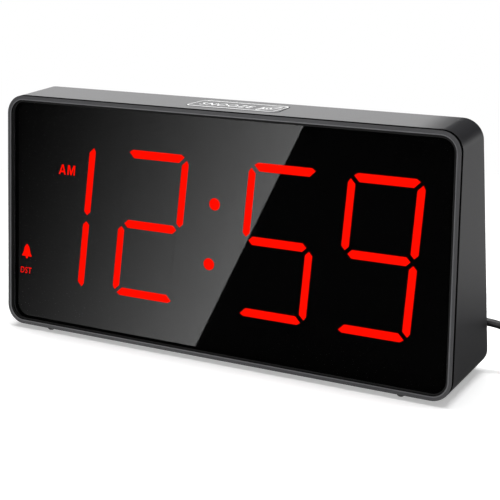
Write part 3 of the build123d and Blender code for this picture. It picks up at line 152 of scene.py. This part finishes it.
# --- camera
def make_camera():
    data = bpy.data.cameras.new("camera")
    data.sensor_width = 36
    data.lens = 86.72
    data.clip_start = 0.01
    cam = bpy.data.objects.new("camera", data)
    cam.location = (0.25764, -0.46524, 0.19124)
    cam.rotation_euler = (math.radians(90 - 15.2007), 0, math.radians(28.2225))
    bpy.context.scene.collection.objects.link(cam)
    bpy.context.scene.camera = cam


# --- small helpers for objects
def give(names, material):
    for name in names:
        slots = nodes[name].data.materials
        slots.clear()
        slots.append(material)


def scaled_frame(place):
    """A face's frame, given in mm, as one that acts on metres."""
    out = place.copy()
    out.translation = place.translation * MM
    return out


def link_mesh(name, bm, material, place, body):
    """A finished bmesh becomes a piece with its place in its mesh."""
    bmesh.ops.recalc_face_normals(bm, faces=bm.faces)
    mesh = bpy.data.meshes.new(name)
    bm.to_mesh(mesh)
    bm.free()
    mesh.transform(Matrix.Scale(MM, 4))
    mesh.transform(scaled_frame(place))
    mesh.materials.append(material)
    made = bpy.data.objects.new(name, mesh)
    bpy.context.scene.collection.objects.link(made)
    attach(made, body)
    return made


# --- small helpers for materials
def linear(code):
    """An sRGB hex colour as linear RGBA."""
    out = []
    for i in (0, 2, 4):
        c = int(code[i : i + 2], 16) / 255
        out.append(c / 12.92 if c <= 0.04045 else ((c + 0.055) / 1.055) ** 2.4)
    return (*out, 1.0)


def toned(code, share):
    """The colour made darker or lighter by a share."""
    return (*(min(c * share, 1) for c in linear(code)[:3]), 1)


def node(tree, kind, links=None, **settings):
    """Adds one node; settings that name a socket fill it, and others set a property."""
    made = tree.nodes.new(kind)
    for name, value in settings.items():
        socket = made.inputs.get(name.replace("_", " "))
        if socket is not None and not hasattr(made, name):
            socket.default_value = value
        else:
            setattr(made, name, value)
    for name, source in (links or {}).items():
        tree.links.new(source, made.inputs[name])
    return made


def new_material(name):
    """A material with its tree, its shader and the object's own coordinates."""
    made = bpy.data.materials.new(name)
    made.use_nodes = True
    tree = made.node_tree
    coords = node(tree, "ShaderNodeTexCoord").outputs["Object"]
    return made, tree, tree.nodes["Principled BSDF"], coords


def fill(shader, **values):
    for name, value in values.items():
        shader.inputs[name.replace("_", " ")].default_value = value


def noise(tree, coords, scale, detail, roughness=0.5):
    made = node(
        tree,
        "ShaderNodeTexNoise",
        {"Vector": coords},
        Scale=scale,
        Detail=detail,
        Roughness=roughness,
    )
    return made.outputs["Fac"]


def spread(tree, value, low, high):
    """A value from nought to one, spread from low to high."""
    made = node(tree, "ShaderNodeMapRange", {"Value": value})
    fill(made, To_Min=low, To_Max=high)
    return made.outputs["Result"]


def blend(tree, share, first, second):
    """A colour between two, of which the first may be a socket."""
    made = node(tree, "ShaderNodeMix", {"Factor": share}, data_type="RGBA")
    if isinstance(first, bpy.types.NodeSocket):
        tree.links.new(first, made.inputs[6])
    else:
        made.inputs[6].default_value = first
    made.inputs[7].default_value = second
    return made.outputs[2]


def relief(tree, bsdf, height, strength, distance):
    bump = node(tree, "ShaderNodeBump", {"Height": height}, Strength=strength, Distance=distance)
    tree.links.new(bump.outputs["Normal"], bsdf.inputs["Normal"])


# --- materials
def behind_face(tree, coords, near, far):
    """One where a point is between these depths behind the face, in mm, and nought elsewhere."""
    out = FACE.to_3x3() @ Vector((0, 0, 1))
    height = node(tree, "ShaderNodeVectorMath", {0: coords}, operation="DOT_PRODUCT")
    height.inputs[1].default_value = out
    face_height = out.dot(FACE.translation * MM)
    inside = node(tree, "ShaderNodeMath", {0: height.outputs["Value"]}, operation="COMPARE")
    inside.inputs[1].default_value = face_height - (near + far) / 2 * MM
    inside.inputs[2].default_value = (far - near) / 2 * MM
    return inside.outputs[0]


def textured_abs(name, colour, roughness, grain_mm, bump, level=0.4, groove_shade_depths=None):
    """Moulded ABS with a spark-eroded texture: dull, with a soft sheen and a fine even grain.

    The groove shade depths are a span behind the face, over the rim and the groove, where painted
    shade makes the plastic dark and unreflecting.
    """
    made, tree, bsdf, coords = new_material(name)
    grain = noise(tree, coords, 1 / (grain_mm * MM), 3.0, 0.6)
    drift = noise(tree, coords, 22.0, 2.0)
    tone = blend(tree, drift, toned(colour, 0.9), toned(colour, 1.1))
    fill(bsdf, Specular_IOR_Level=level)
    if groove_shade_depths:
        # painted shade: between these depths the plastic is darkened and its reflection turned off
        painted_groove_shade = behind_face(tree, coords, *groove_shade_depths)
        tone = blend(tree, painted_groove_shade, tone, linear("0c0c0c"))
        tree.links.new(spread(tree, painted_groove_shade, level, 0.0), bsdf.inputs["Specular IOR Level"])
    tree.links.new(tone, bsdf.inputs["Base Color"])
    shine = spread(tree, grain, roughness - 0.06, roughness + 0.06)
    tree.links.new(shine, bsdf.inputs["Roughness"])
    relief(tree, bsdf, grain, bump, 0.00004)
    return made


def window_acrylic():
    """Tinted acrylic with an anti-glare face: the glossy film behind it takes the sheen."""
    made, tree, bsdf, coords = new_material("window_acrylic")
    wipe = noise(tree, coords, 38.0, 4.0)
    tree.links.new(spread(tree, wipe, 0.3, 0.4), bsdf.inputs["Roughness"])
    fill(bsdf, Base_Color=linear("060606"), Specular_IOR_Level=0.0, Alpha=WINDOW_TINT)
    return made


def gloss_film():
    """Black polyester film: mirror-smooth, with the slightest unevenness in its gloss."""
    made, tree, bsdf, coords = new_material("gloss_film")
    haze = noise(tree, coords, 38.0, 4.0)
    tree.links.new(spread(tree, haze, 0.01, 0.03), bsdf.inputs["Roughness"])
    flat = node(tree, "ShaderNodeNewGeometry").outputs["True Normal"]
    tree.links.new(flat, bsdf.inputs["Normal"])
    fill(bsdf, Base_Color=linear("060606"))
    return made


def border_ink():
    """Black ceramic ink along the window's edge: dull, so that it takes no reflection."""
    made, tree, bsdf, coords = new_material("border_ink")
    speck = noise(tree, coords, 1500.0, 2.0)
    tone = blend(tree, speck, linear("161616"), linear("1d1d1d"))
    tree.links.new(tone, bsdf.inputs["Base Color"])
    fill(bsdf, Roughness=0.8, Specular_IOR_Level=0.1)
    return made


def lit_diffuser():
    """Red acrylic lit from behind, even from end to end, with a matte face."""
    made, tree, bsdf, coords = new_material("lit_diffuser")
    cloud = noise(tree, coords, 160.0, 1.0)
    through = (1 - WINDOW_TINT) ** 2
    glow = spread(tree, cloud, 1.0 / through, 1.1 / through)
    tree.links.new(glow, bsdf.inputs["Emission Strength"])
    fill(bsdf, Emission_Color=linear("ff0c00"), Base_Color=linear("200000"))
    fill(bsdf, Roughness=0.9, Specular_IOR_Level=0.0)
    return made


def dull(name, colour, roughness, grain_mm, bump=0.1, metallic=0.0):
    """A finish with a fine grain: cast, moulded or rolled, as its colour and roughness say."""
    made, tree, bsdf, coords = new_material(name)
    grain = noise(tree, coords, 1 / (grain_mm * MM), 3.0)
    tone = blend(tree, grain, toned(colour, 0.85), toned(colour, 1.15))
    tree.links.new(tone, bsdf.inputs["Base Color"])
    shine = spread(tree, grain, roughness * 0.85, min(roughness * 1.15, 1))
    tree.links.new(shine, bsdf.inputs["Roughness"])
    relief(tree, bsdf, grain, bump, 0.00005)
    fill(bsdf, Metallic=metallic)
    return made


def pvc_jacket():
    """Extruded PVC round the lead: black and satin, with a faint skin."""
    made, tree, bsdf, coords = new_material("pvc_jacket")
    skin = noise(tree, coords, 1800.0, 2.0)
    relief(tree, bsdf, skin, 0.15, 0.00003)
    tree.links.new(spread(tree, skin, 0.34, 0.46), bsdf.inputs["Roughness"])
    fill(bsdf, Base_Color=linear("161617"))
    return made


def white_ink():
    """Pad-printed ink: white, matte, a little thin where the plastic's grain shows through."""
    made, tree, bsdf, coords = new_material("white_ink")
    worn = noise(tree, coords, 2500.0, 2.0)
    tone = blend(tree, worn, linear("d2d2d2"), linear("eeeeee"))
    tree.links.new(tone, bsdf.inputs["Base Color"])
    fill(bsdf, Roughness=0.6)
    return made


def circuit_laminate():
    """Glass-epoxy board under green solder mask, with the darker lines of its copper."""
    made, tree, bsdf, coords = new_material("circuit_laminate")
    lines = node(
        tree, "ShaderNodeTexBrick", {"Vector": coords}, Scale=90.0, offset=0.35, squash=1.3
    )
    fill(lines, Color1=linear("1c5a2e"), Color2=linear("1a5229"))
    fill(lines, Mortar=linear("0f3a1b"), Mortar_Size=0.03)
    tree.links.new(lines.outputs["Color"], bsdf.inputs["Base Color"])
    fill(bsdf, Roughness=0.32)
    return made


def dress_nodes():
    """Gives each solid its material, and hands on the two that drawn pieces share with them."""
    # painted shade over the bezel's rim and the groove between frame and case
    groove_shade_depths = (0.05, RIM_DEPTH + GROOVE_WIDTH + 0.02)
    case = textured_abs("charcoal_abs", "252527", 0.38, 0.35, 0.25, 0.5, groove_shade_depths)
    # painted light: the bezel takes a lighter charcoal than the case, for the light falling on the
    # front
    bezel = textured_abs("bezel_abs", "3a3a3c", 0.5, 0.3, 0.2, 0.5, groove_shade_depths)
    key = textured_abs("key_abs", "252527", 0.42, 0.35, 0.25, 0.5)
    give(["rear_case", "battery_door", "snooze_key"], case)
    give(["front_bezel"], bezel)
    give(["time_key", "alarm_key", "hour_key", "minute_key", "format_key", "summer_time_key"], key)
    give(["alarm_switch_knob", "dimmer_wheel"], key)
    red = lit_diffuser()
    give(["digit_1_segments", "digit_2_segments", "digit_3_segments", "digit_4_segments"], red)
    give(["colon_dots"], red)
    give(["segment_mask", "unlit_segments", "indicator_windows"], gloss_film())
    give(["display_block"], dull("black_styrene", "0a0a0a", 0.6, 0.6))
    give(["display_board", "snooze_board", "control_board"], circuit_laminate())
    steel = dull("zinc_plate", "a9a9ab", 0.34, 0.5, 0.15, 1.0)
    give(["case_screws", "display_board_screws", "snooze_board_screws"], steel)
    give(["control_board_screws", "speaker_frame"], steel)
    nickel = dull("nickel_plate", "c4c1b8", 0.22, 0.6, 0.08, 1.0)
    give(["quartz_crystal", "alarm_switch_body", "battery_contacts"], nickel)
    give(["dc_jack_pin", "plug_barrel"], nickel)
    black_pbt = dull("black_pbt", "151515", 0.42, 0.5)
    give(["snooze_switch", "key_switches", "clock_chip"], black_pbt)
    give(["dimmer_control", "dc_jack", "coil_tie"], black_pbt)
    give(["light_chips"], dull("chip_epoxy", "e6e2d4", 0.4, 0.5))
    give(["rubber_feet"], dull("moulded_rubber", "141414", 0.8, 0.4, 0.3))
    give(["backup_cell_1", "backup_cell_2"], dull("cell_sleeve", "2b2f3a", 0.3, 1.5))
    give(["speaker_cone"], dull("pulp_cone", "26231f", 0.9, 0.3, 0.5))
    give(["speaker_magnet"], dull("ferrite", "3a3a3c", 0.6, 0.4, 0.3))
    give(["ribbon_cable", "hook_up_wires"], dull("wire_jacket", "8a1a14", 0.4, 1.0))
    jacket = pvc_jacket()
    give(["plug_body", "plug_relief", "adapter_relief"], jacket)
    give(["adapter_body"], textured_abs("adapter_abs", "1b1b1c", 0.5, 0.4, 0.3))
    give(["adapter_blades"], dull("nickelled_brass", "cfc8b4", 0.25, 0.5, 0.08, 1.0))
    return jacket, red


# --- the lead, from the strain relief to the adapter
def coil_points():
    """Eleven turns in four layers, wound in, up, out, up, in, up and out again."""
    changes = [(320, "in"), (680, "in"), (990, "up"), (1300, "out"), (1660, "out"), (1970, "up")]
    changes += [(2280, "in"), (2640, "in"), (2950, "up"), (3260, "out"), (3620, "out")]
    end, step, change_span = 3960, 15, 40
    points = []
    for turned in range(0, end + 1, step):
        ring, layer = 0.0, 0.0
        for at, kind in changes:
            share = min(max((turned - at + change_span / 2) / change_span, 0), 1)
            if kind == "up":
                layer += share
            else:
                ring += share if kind == "in" else -share
        radius = COIL_TURN_RADIUS + LEAD_DIAMETER * (1 - ring)
        angle = math.radians(90 - turned)
        points.append(
            (
                COIL_CENTRE[0] + radius * math.cos(angle),
                COIL_CENTRE[1] + radius * math.sin(angle),
                COIL_FLOOR + LEAD_DIAMETER * (0.5 + layer),
            )
        )
    return points


def make_lead(jacket):
    turns = coil_points()
    last = turns[-1]
    run = [(last[0] + d, last[1], last[2]) for d in (8.0, 17.0, ADAPTER_RELIEF_X - last[0])]
    points = [*LEAD_ROUTE, *turns, *run]
    curve = bpy.data.curves.new("power_cord", "CURVE")
    curve.dimensions = "3D"
    spline = curve.splines.new("NURBS")
    spline.points.add(len(points) - 1)
    for point, place in zip(spline.points, points):
        point.co = (*(v * MM for v in place), 1)
    spline.order_u = 3
    spline.use_endpoint_u = True
    spline.resolution_u = 6
    curve.bevel_depth = LEAD_DIAMETER / 2 * MM
    curve.bevel_resolution = 5
    curve.use_fill_caps = True
    curve.materials.append(jacket)
    lead = bpy.data.objects.new("power_cord", curve)
    bpy.context.scene.collection.objects.link(lead)
    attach(lead, "clock")
    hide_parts("power_lead", "lead_coil", "lead_end")


# --- flat drawings, in mm
def flat_word(text, height, width=None, bold=0.0, slant=0.0, spacing=1.0):
    """A word as a flat mesh about its middle, with that height of capitals and that width."""
    data = bpy.data.curves.new(text, "FONT")
    data.body = text
    data.size = height / CAPITAL_SHARE
    data.offset = bold
    data.shear = slant
    data.space_character = spacing
    data.resolution_u = 4
    holder = bpy.data.objects.new(text, data)
    bpy.context.scene.collection.objects.link(holder)
    bpy.context.view_layer.update()
    mesh = bpy.data.meshes.new_from_object(holder)
    bpy.data.objects.remove(holder)
    bm = bmesh.new()
    bm.from_mesh(mesh)
    bpy.data.meshes.remove(mesh)
    bmesh.ops.remove_doubles(bm, verts=bm.verts, dist=0.0005)
    xs = [v.co.x for v in bm.verts]
    ys = [v.co.y for v in bm.verts]
    middle = ((max(xs) + min(xs)) / 2, (max(ys) + min(ys)) / 2, 0)
    bmesh.ops.translate(bm, vec=[-c for c in middle], verts=bm.verts)
    if width:
        bmesh.ops.scale(bm, vec=(width / (max(xs) - min(xs)), 1, 1), verts=bm.verts)
    return bm


def slanted(bm, slant):
    for v in bm.verts:
        v.co.x += v.co.y * slant
    return bm


def bridge(bm, outer, inner):
    """Faces between two closed loops of as many corners."""
    for i in range(len(outer)):
        j = (i + 1) % len(outer)
        bm.faces.new([outer[i], outer[j], inner[j], inner[i]])


def ring_between(outer, inner):
    """A flat frame between two outlines of as many points."""
    bm = bmesh.new()
    loops = [[bm.verts.new((x, y, 0)) for x, y in outline] for outline in (outer, inner)]
    bridge(bm, *loops)
    return bm


def filled(outline):
    """A flat shape with this outline."""
    bm = bmesh.new()
    bm.faces.new([bm.verts.new((x, y, 0)) for x, y in outline])
    bm.normal_update()
    return bm


def as_line(bm, line):
    """Keeps only a line of that width along a shape's edge, inside it."""
    inner = bmesh.ops.inset_region(
        bm, faces=list(bm.faces), thickness=line, use_boundary=True, use_even_offset=True
    )
    rim = set(inner["faces"])
    bmesh.ops.delete(bm, geom=[f for f in bm.faces if f not in rim], context="FACES")
    return bm


def arc(x, y, radius, start, end, steps=ARC_STEPS):
    turn = [math.radians(start + (end - start) * i / steps) for i in range(steps + 1)]
    return [(x + radius * math.cos(a), y + radius * math.sin(a)) for a in turn]


def rounded_outline(length, width, corner):
    x, y = length / 2 - corner, width / 2 - corner
    points = []
    for side, end, start in ((x, -y, 270), (x, y, 0), (-x, y, 90), (-x, -y, 180)):
        points += arc(side, end, corner, start, start + 90)
    return points


def hand_outline():
    """A pressing hand: one finger down, the others folded, and the wrist behind."""
    points = arc(0.9, 0.9, 0.9, 180, 360, 6)
    for x, y in ((2.6, 3.0), (4.2, 3.2), (5.8, 3.7)):
        points += arc(x, y, 0.8, 190, 350, 5)
    points += [(7.6, 6.4), (8.0, 8.4), (4.0, 8.4), (2.6, 7.2), (0.2, 6.2)]
    return points


def bell_outline():
    """A hand bell with its clapper, about its axis, from the clapper's lower edge up."""
    side = [(0.62, 1.1), (2.85, 1.15), (2.8, 1.6), (2.2, 2.7), (1.8, 3.9), (1.4, 5.7)]
    crown = [(0.8, 6.5), (0.2, 7.15)]
    right = side + crown
    left = [(-x, y) for x, y in reversed(right)]
    clapper = arc(0, 0.62, 0.62, 180, 360)
    return right + left + clapper


def bold_letters():
    """AM in heavy capitals 4.7 high, about its middle: each letter's outline, and the A's eye."""
    a = [(0, 0), (1.55, 4.7), (2.45, 4.7), (4, 0), (3.2, 0), (2.88, 1), (1.12, 1), (0.8, 0)]
    eye = [(1.38, 1.8), (2.62, 1.8), (2, 3.75)]
    m = [(0, 0), (0, 4.7), (1.05, 4.7), (2.1, 1.7), (3.15, 4.7), (4.2, 4.7), (4.2, 0)]
    m += [(3.5, 0), (3.5, 3.3), (2.4, 0), (1.8, 0), (0.7, 3.3), (0.7, 0)]
    bm = bmesh.new()
    for outline, start in ((a, 0), (eye, 0), (m, 4.95)):
        corners = [bm.verts.new((x + start, y, 0)) for x, y in outline]
        for first, second in zip(corners, corners[1:] + corners[:1]):
            bm.edges.new((first, second))
    bmesh.ops.triangle_fill(bm, edges=list(bm.edges), use_beauty=True)
    bmesh.ops.translate(bm, vec=(-4.6, -2.35, 0), verts=bm.verts)
    return bm


def face_outline(inset):
    """The face's outline with its round corners, brought in by inset."""
    low = CASE_WIDTH / 2 - inset
    lean = SIDE_TAPER / FACE_HEIGHT
    top = low - SIDE_TAPER + 2 * inset * lean
    radius = CORNER_RADIUS - inset
    points = []
    for x, v, start in (
        (low - radius, inset + radius, 270),
        (top - radius, FACE_HEIGHT - inset - radius, 0),
        (radius - top, FACE_HEIGHT - inset - radius, 90),
        (radius - low, inset + radius, 180),
    ):
        points += arc(x, v, radius, start, start + 90)
    return points


# --- printed and lit signs, and the trim
def sign(name, drawing, spot, place, body, material, thickness=INK_THICKNESS):
    """A flat drawing given its ink's or diffuser's thickness and set on one of the case's faces."""
    grown = bmesh.ops.extrude_face_region(drawing, geom=list(drawing.faces))
    tops = [v for v in grown["geom"] if isinstance(v, bmesh.types.BMVert)]
    bmesh.ops.translate(drawing, vec=(0, 0, thickness), verts=tops)
    bmesh.ops.translate(drawing, vec=spot, verts=drawing.verts)
    return link_mesh(name, drawing, material, place, body)


def snooze_print(ink):
    ring = ring_between(rounded_outline(*PRINT_OUTER), rounded_outline(*PRINT_INNER))
    letters = flat_word("SNOOZE", 5.0, 26.6, bold=0.05, slant=SNOOZE_SLANT, spacing=1.12)
    hand = as_line(filled(hand_outline()), HAND_LINE)
    for name, drawing, x, y in (
        ("snooze_outline", slanted(ring, SNOOZE_SLANT), 0, -0.1),
        ("snooze_word", letters, -4.8, -0.5),
        ("snooze_hand", slanted(hand, SNOOZE_SLANT), 10.9, -4.8),
    ):
        spot = (SNOOZE_X + x, SNOOZE_FROM_FACE + y, SNOOZE_PROUD + INK_LIFT)
        sign(name, drawing, spot, TOP, "snooze", ink)


def lit_signs(red):
    """The morning sign, the alarm's bell and the summer-time sign, in their windows in the film."""
    bell = filled(bell_outline())
    bmesh.ops.triangulate(bell, faces=list(bell.faces))
    summer = flat_word("DST", 3.2, 6.8, slant=0.15, spacing=1.12)
    for name, drawing, x, v in (
        ("morning_sign", slanted(bold_letters(), 0.1), -79.45, 77.95),
        ("bell_sign", slanted(bell, 0.06), -104.0, 32.3),
        ("summer_time_sign", summer, -104.5, 26.4),
    ):
        spot = (x, v, -SIGN_DEPTH)
        sign(name, drawing, spot, FACE, "clock", red, DIFFUSER_THICKNESS)


def face_ring(name, span, height, material):
    """A thin frame in the face's plane, between two distances from the case's edge."""
    outer, inner = span
    ring = ring_between(face_outline(outer), face_outline(inner))
    sign(name, ring, (0, 0, height), FACE, "clock", material)


def face_trim():
    """The window's printed border, and a lighter ring on the bezel's inner edge, a painted highlight.
    """
    face_ring("window_border", BORDER, INK_LIFT - LENS_RECESS, border_ink())
    # painted highlight: a lighter charcoal along the bezel's inner edge
    edge = textured_abs("painted_edge_highlight", "606062", 0.4, 0.3, 0.1, 0.5)
    face_ring("bezel_highlight_ring", EDGE_HIGHLIGHT_SPAN, 0.0, edge)


def window_pane():
    """The window with its chamfered front edge, a hair clear of the film behind it."""
    bm = bmesh.new()
    loops = []
    for more, depth in (
        (0, LENS_BACK - PANE_CLEARANCE),
        (0, LENS_RECESS + PANE_CHAMFER),
        (PANE_CHAMFER, LENS_RECESS),
    ):
        outline = face_outline(BEZEL_WIDTH + LENS_FIT + more)
        loops.append([bm.verts.new((x, v, -depth)) for x, v in outline])
    for outer, inner in zip(loops, loops[1:]):
        bridge(bm, outer, inner)
    bm.faces.new(loops[0])
    bm.faces.new(loops[-1])
    pane = link_mesh("window_pane", bm, window_acrylic(), FACE, "clock")
    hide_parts("display_lens")


def back_legends(ink):
    """What each key, switch and socket on the back does."""
    first = -KEY_PITCH * (len(KEY_WORDS) - 1) / 2
    legends = [
        (word, -(first + KEY_PITCH * i), KEY_ROW_HEIGHT + 7.6) for i, word in enumerate(KEY_WORDS)
    ]
    legends += [
        ("OFF", ALARM_SWITCH_X - 3.6, KEY_ROW_HEIGHT + 5.6),
        ("ON", ALARM_SWITCH_X + 3.6, KEY_ROW_HEIGHT + 5.6),
        ("DIM", DIMMER_X, KEY_ROW_HEIGHT + 10.2),
        ("DC 5V", JACK_X, JACK_HEIGHT + 8.2),
    ]
    for word, x, y in legends:
        name = "legend_" + word.lower().replace(" ", "_").replace("/", "_")
        letters = flat_word(word, LEGEND_HEIGHT)
        sign(name, letters, (x, y, INK_LIFT), BACK, "clock", ink)
    letters = flat_word("2 x AAA", CELL_LEGEND_HEIGHT)
    spot = (BATTERY_X, BATTERY_HEIGHT, INK_LIFT)
    sign("cell_legend", letters, spot, BACK, "door", ink)


def make_signs(red):
    ink = white_ink()
    snooze_print(ink)
    lit_signs(red)
    face_trim()
    window_pane()
    back_legends(ink)


# --- floor, backdrop, cards and lamps
def mirrored(point):
    """The point's image in the film behind the window."""
    away = (point - FILM_POINT).dot(FILM_NORMAL)
    return point - 2 * away * FILM_NORMAL


def bare_tree(name):
    """A material with nothing but its output."""
    material = bpy.data.materials.new(name)
    material.use_nodes = True
    tree = material.node_tree
    tree.nodes.clear()
    return material, tree, node(tree, "ShaderNodeOutputMaterial")


def emitter(tree, strength):
    return node(tree, "ShaderNodeEmission", Color=(1, 1, 1, 1), Strength=strength)


def glow_material(name, strength):
    """A bare emitter, and the nodes to grade it with."""
    material, tree, out = bare_tree(name)
    light = emitter(tree, strength)
    tree.links.new(light.outputs[0], out.inputs["Surface"])
    return material, tree, light


def stage_mesh(name, corners, material):
    mesh = bpy.data.meshes.new(name)
    mesh.from_pydata([tuple(c) for c in corners], [], [tuple(range(len(corners)))])
    mesh.materials.append(material)
    made = bpy.data.objects.new(name, mesh)
    bpy.context.scene.collection.objects.link(made)
    return made


def mirror_card(name, corners, material):
    """A card that shows in glossy surfaces and does nothing else."""
    card = stage_mesh(name, corners, material)
    card.visible_camera = False
    card.visible_diffuse = False
    card.visible_shadow = False
    card.visible_transmission = False


def facing_card(name, direction, distance, width, height, strength):
    """An upright or tilted card that faces the clock from that direction."""
    away = Vector(direction).normalized()
    across = away.cross(Vector((0, 0, 1))).normalized()
    up = across.cross(away)
    middle = Vector((0, 0, 0.06)) + away * distance
    corners = [
        middle + across * (width / 2 * i) + up * (height / 2 * j)
        for i, j in ((-1, -1), (1, -1), (1, 1), (-1, 1))
    ]
    mirror_card(name, corners, glow_material(name, strength)[0])


def film_card():
    """In front of the clock: pale up to a slanting edge and fading away from it to the left."""
    eye = mirrored(bpy.context.scene.camera.location)
    away = abs((eye - FILM_POINT).dot(FILM_NORMAL))
    grow = (away + FILM_CARD_OUT) / away

    def on_card(x, v):
        spot = (FACE @ Vector((x, v, -LENS_BACK))) * MM
        return eye + (spot - eye) * grow

    material, tree, light = glow_material("film_card", 1.0)
    left, right, low, high = FILM_CARD_REACH
    corners = [on_card(left, low), on_card(right, low), on_card(right, high), on_card(left, high)]
    edge_low, edge_high = (on_card(*spot) for spot in FILM_CARD_EDGE)
    across = FILM_NORMAL.cross((edge_high - edge_low).normalized())
    if across.x < 0:
        across = -across
    edge = edge_low.dot(across)
    coords = node(tree, "ShaderNodeTexCoord").outputs["Object"]
    reach = node(tree, "ShaderNodeVectorMath", {0: coords}, operation="DOT_PRODUCT")
    reach.inputs[1].default_value = across
    near = node(tree, "ShaderNodeMapRange", {"Value": reach.outputs["Value"]})
    fill(near, From_Min=edge - FILM_CARD_FADE * grow, From_Max=edge)
    fade = node(tree, "ShaderNodeMath", {0: near.outputs["Result"]}, operation="POWER")
    fade.inputs[1].default_value = FILM_CARD_POWER
    inside = node(tree, "ShaderNodeMath", {0: reach.outputs["Value"]}, operation="LESS_THAN")
    inside.inputs[1].default_value = edge
    cut = node(
        tree, "ShaderNodeMath", {0: fade.outputs[0], 1: inside.outputs[0]}, operation="MULTIPLY"
    )
    level = node(tree, "ShaderNodeMath", {0: cut.outputs[0]}, operation="MULTIPLY")
    level.inputs[1].default_value = FILM_CARD_LEVEL
    tree.links.new(level.outputs[0], light.inputs["Strength"])
    mirror_card("film_card", corners, material)


def floor_card():
    """What glossy surfaces see of the table: dim close to the clock as its painted shadow, pale
    further out.
    """
    material, tree, light = glow_material("floor_card", 1.0)
    coords = node(tree, "ShaderNodeTexCoord").outputs["Object"]
    away = node(tree, "ShaderNodeVectorMath", {0: coords}, operation="DISTANCE")
    away.inputs[1].default_value = FLOOR_CARD_MIDDLE
    place = node(tree, "ShaderNodeMapRange", {"Value": away.outputs["Value"]})
    fill(place, From_Min=0.0, From_Max=FLOOR_CARD_REACH)
    ramp = node(tree, "ShaderNodeValToRGB", {"Fac": place.outputs["Result"]})
    levels = [(at, (level, level, level, 1)) for at, level in FLOOR_CARD_STOPS]
    first, last = ramp.color_ramp.elements
    first.position, first.color = levels[0]
    last.position, last.color = levels[-1]
    for at, colour in levels[1:-1]:
        ramp.color_ramp.elements.new(at).color = colour
    tree.links.new(ramp.outputs["Color"], light.inputs["Color"])
    corners = [(0.1, -0.02, -0.001), (3, -0.02, -0.001), (3, 3, -0.001), (-1, 3, -0.001)]
    mirror_card("floor_card", corners, material)


def top_flag():
    """A black flag over the top's right end, so that its sheen fades towards the corner."""
    left, front, back, height = TOP_FLAG
    right = 2 * CASE_WIDTH * MM
    corners = [(x, y, height) for x, y in ((left, front), (right, front), (right, back), (left, back))]
    mirror_card("top_flag", corners, glow_material("top_flag", 0.0)[0])


def make_cards():
    film_card()
    floor_card()
    top_flag()
    facing_card("back_left_card", (-0.456, 0.82, 0.36), 1.5, 1.3, 1.0, 1.56)
    facing_card("back_right_card", (0.3, 0.85, 0.5), 1.4, 1.2, 1.25, 0.02)


def make_floor():
    """White paper: it keeps the clock's shadow close by and turns plain white further out."""
    material, tree, out = bare_tree("floor_paper")
    paper = node(tree, "ShaderNodeBsdfDiffuse", Color=(0.8, 0.8, 0.8, 1))
    lift = emitter(tree, FLOOR_LIFT)
    lifted = node(tree, "ShaderNodeAddShader", {0: paper.outputs[0], 1: lift.outputs[0]})
    white = emitter(tree, 1.0)
    coords = node(tree, "ShaderNodeTexCoord").outputs["Object"]
    away = node(tree, "ShaderNodeVectorMath", {0: coords}, operation="LENGTH")
    far = node(tree, "ShaderNodeMapRange", {"Value": away.outputs["Value"]})
    fill(far, From_Min=FLOOR_WHITE_FROM, From_Max=FLOOR_WHITE_TO)
    seen = node(
        tree,
        "ShaderNodeMixShader",
        {"Fac": far.outputs["Result"], 1: lifted.outputs[0], 2: white.outputs[0]},
    )
    path = node(tree, "ShaderNodeLightPath")
    pick = node(
        tree,
        "ShaderNodeMixShader",
        {"Fac": path.outputs["Is Camera Ray"], 1: paper.outputs[0], 2: seen.outputs[0]},
    )
    tree.links.new(pick.outputs[0], out.inputs["Surface"])
    floor = stage_mesh("floor", [(-3, -3, 0), (3, -3, 0), (3, 3, 0), (-3, 3, 0)], material)
    floor.visible_glossy = False


def make_world():
    """White where it is seen, directly or in a surface, and a dim fill otherwise."""
    world = bpy.data.worlds.new("studio")
    bpy.context.scene.world = world
    world.use_nodes = True
    tree = world.node_tree
    tree.nodes.clear()
    out = node(tree, "ShaderNodeOutputWorld")
    path = node(tree, "ShaderNodeLightPath")
    seen = path.outputs["Is Camera Ray"]
    for ray in ("Is Glossy Ray", "Is Transmission Ray"):
        either = node(tree, "ShaderNodeMath", {0: seen, 1: path.outputs[ray]}, operation="MAXIMUM")
        seen = either.outputs[0]
    dim = node(tree, "ShaderNodeBackground", Color=(1, 1, 1, 1), Strength=WORLD_FILL)
    shown = node(tree, "ShaderNodeBackground", Color=(1, 1, 1, 1), Strength=1.0)
    pick = node(
        tree, "ShaderNodeMixShader", {"Fac": seen, 1: dim.outputs[0], 2: shown.outputs[0]}
    )
    tree.links.new(pick.outputs[0], out.inputs["Surface"])


def softbox(name, place, target, size, power):
    data = bpy.data.lights.new(name, "AREA")
    data.shape = "RECTANGLE"
    data.size, data.size_y = size
    data.energy = power
    lamp = bpy.data.objects.new(name, data)
    lamp.location = place
    lamp.rotation_mode = "QUATERNION"
    lamp.rotation_quaternion = (Vector(target) - Vector(place)).to_track_quat("-Z", "Y")
    bpy.context.scene.collection.objects.link(lamp)


def make_lights():
    softbox("top_box", (0.0, 0.12, 1.3), (0, 0.12, 0), (1.2, 0.35), 23)
    softbox("front_box", (0.5, -1.2, 0.3), (0, 0, 0.06), (0.8, 0.4), 5.5)


# --- put the scene together
bpy.context.scene.view_settings.view_transform = "Standard"
make_camera()
jacket, red = dress_nodes()
make_lead(jacket)
make_signs(red)
make_world()
make_floor()
make_cards()
make_lights()
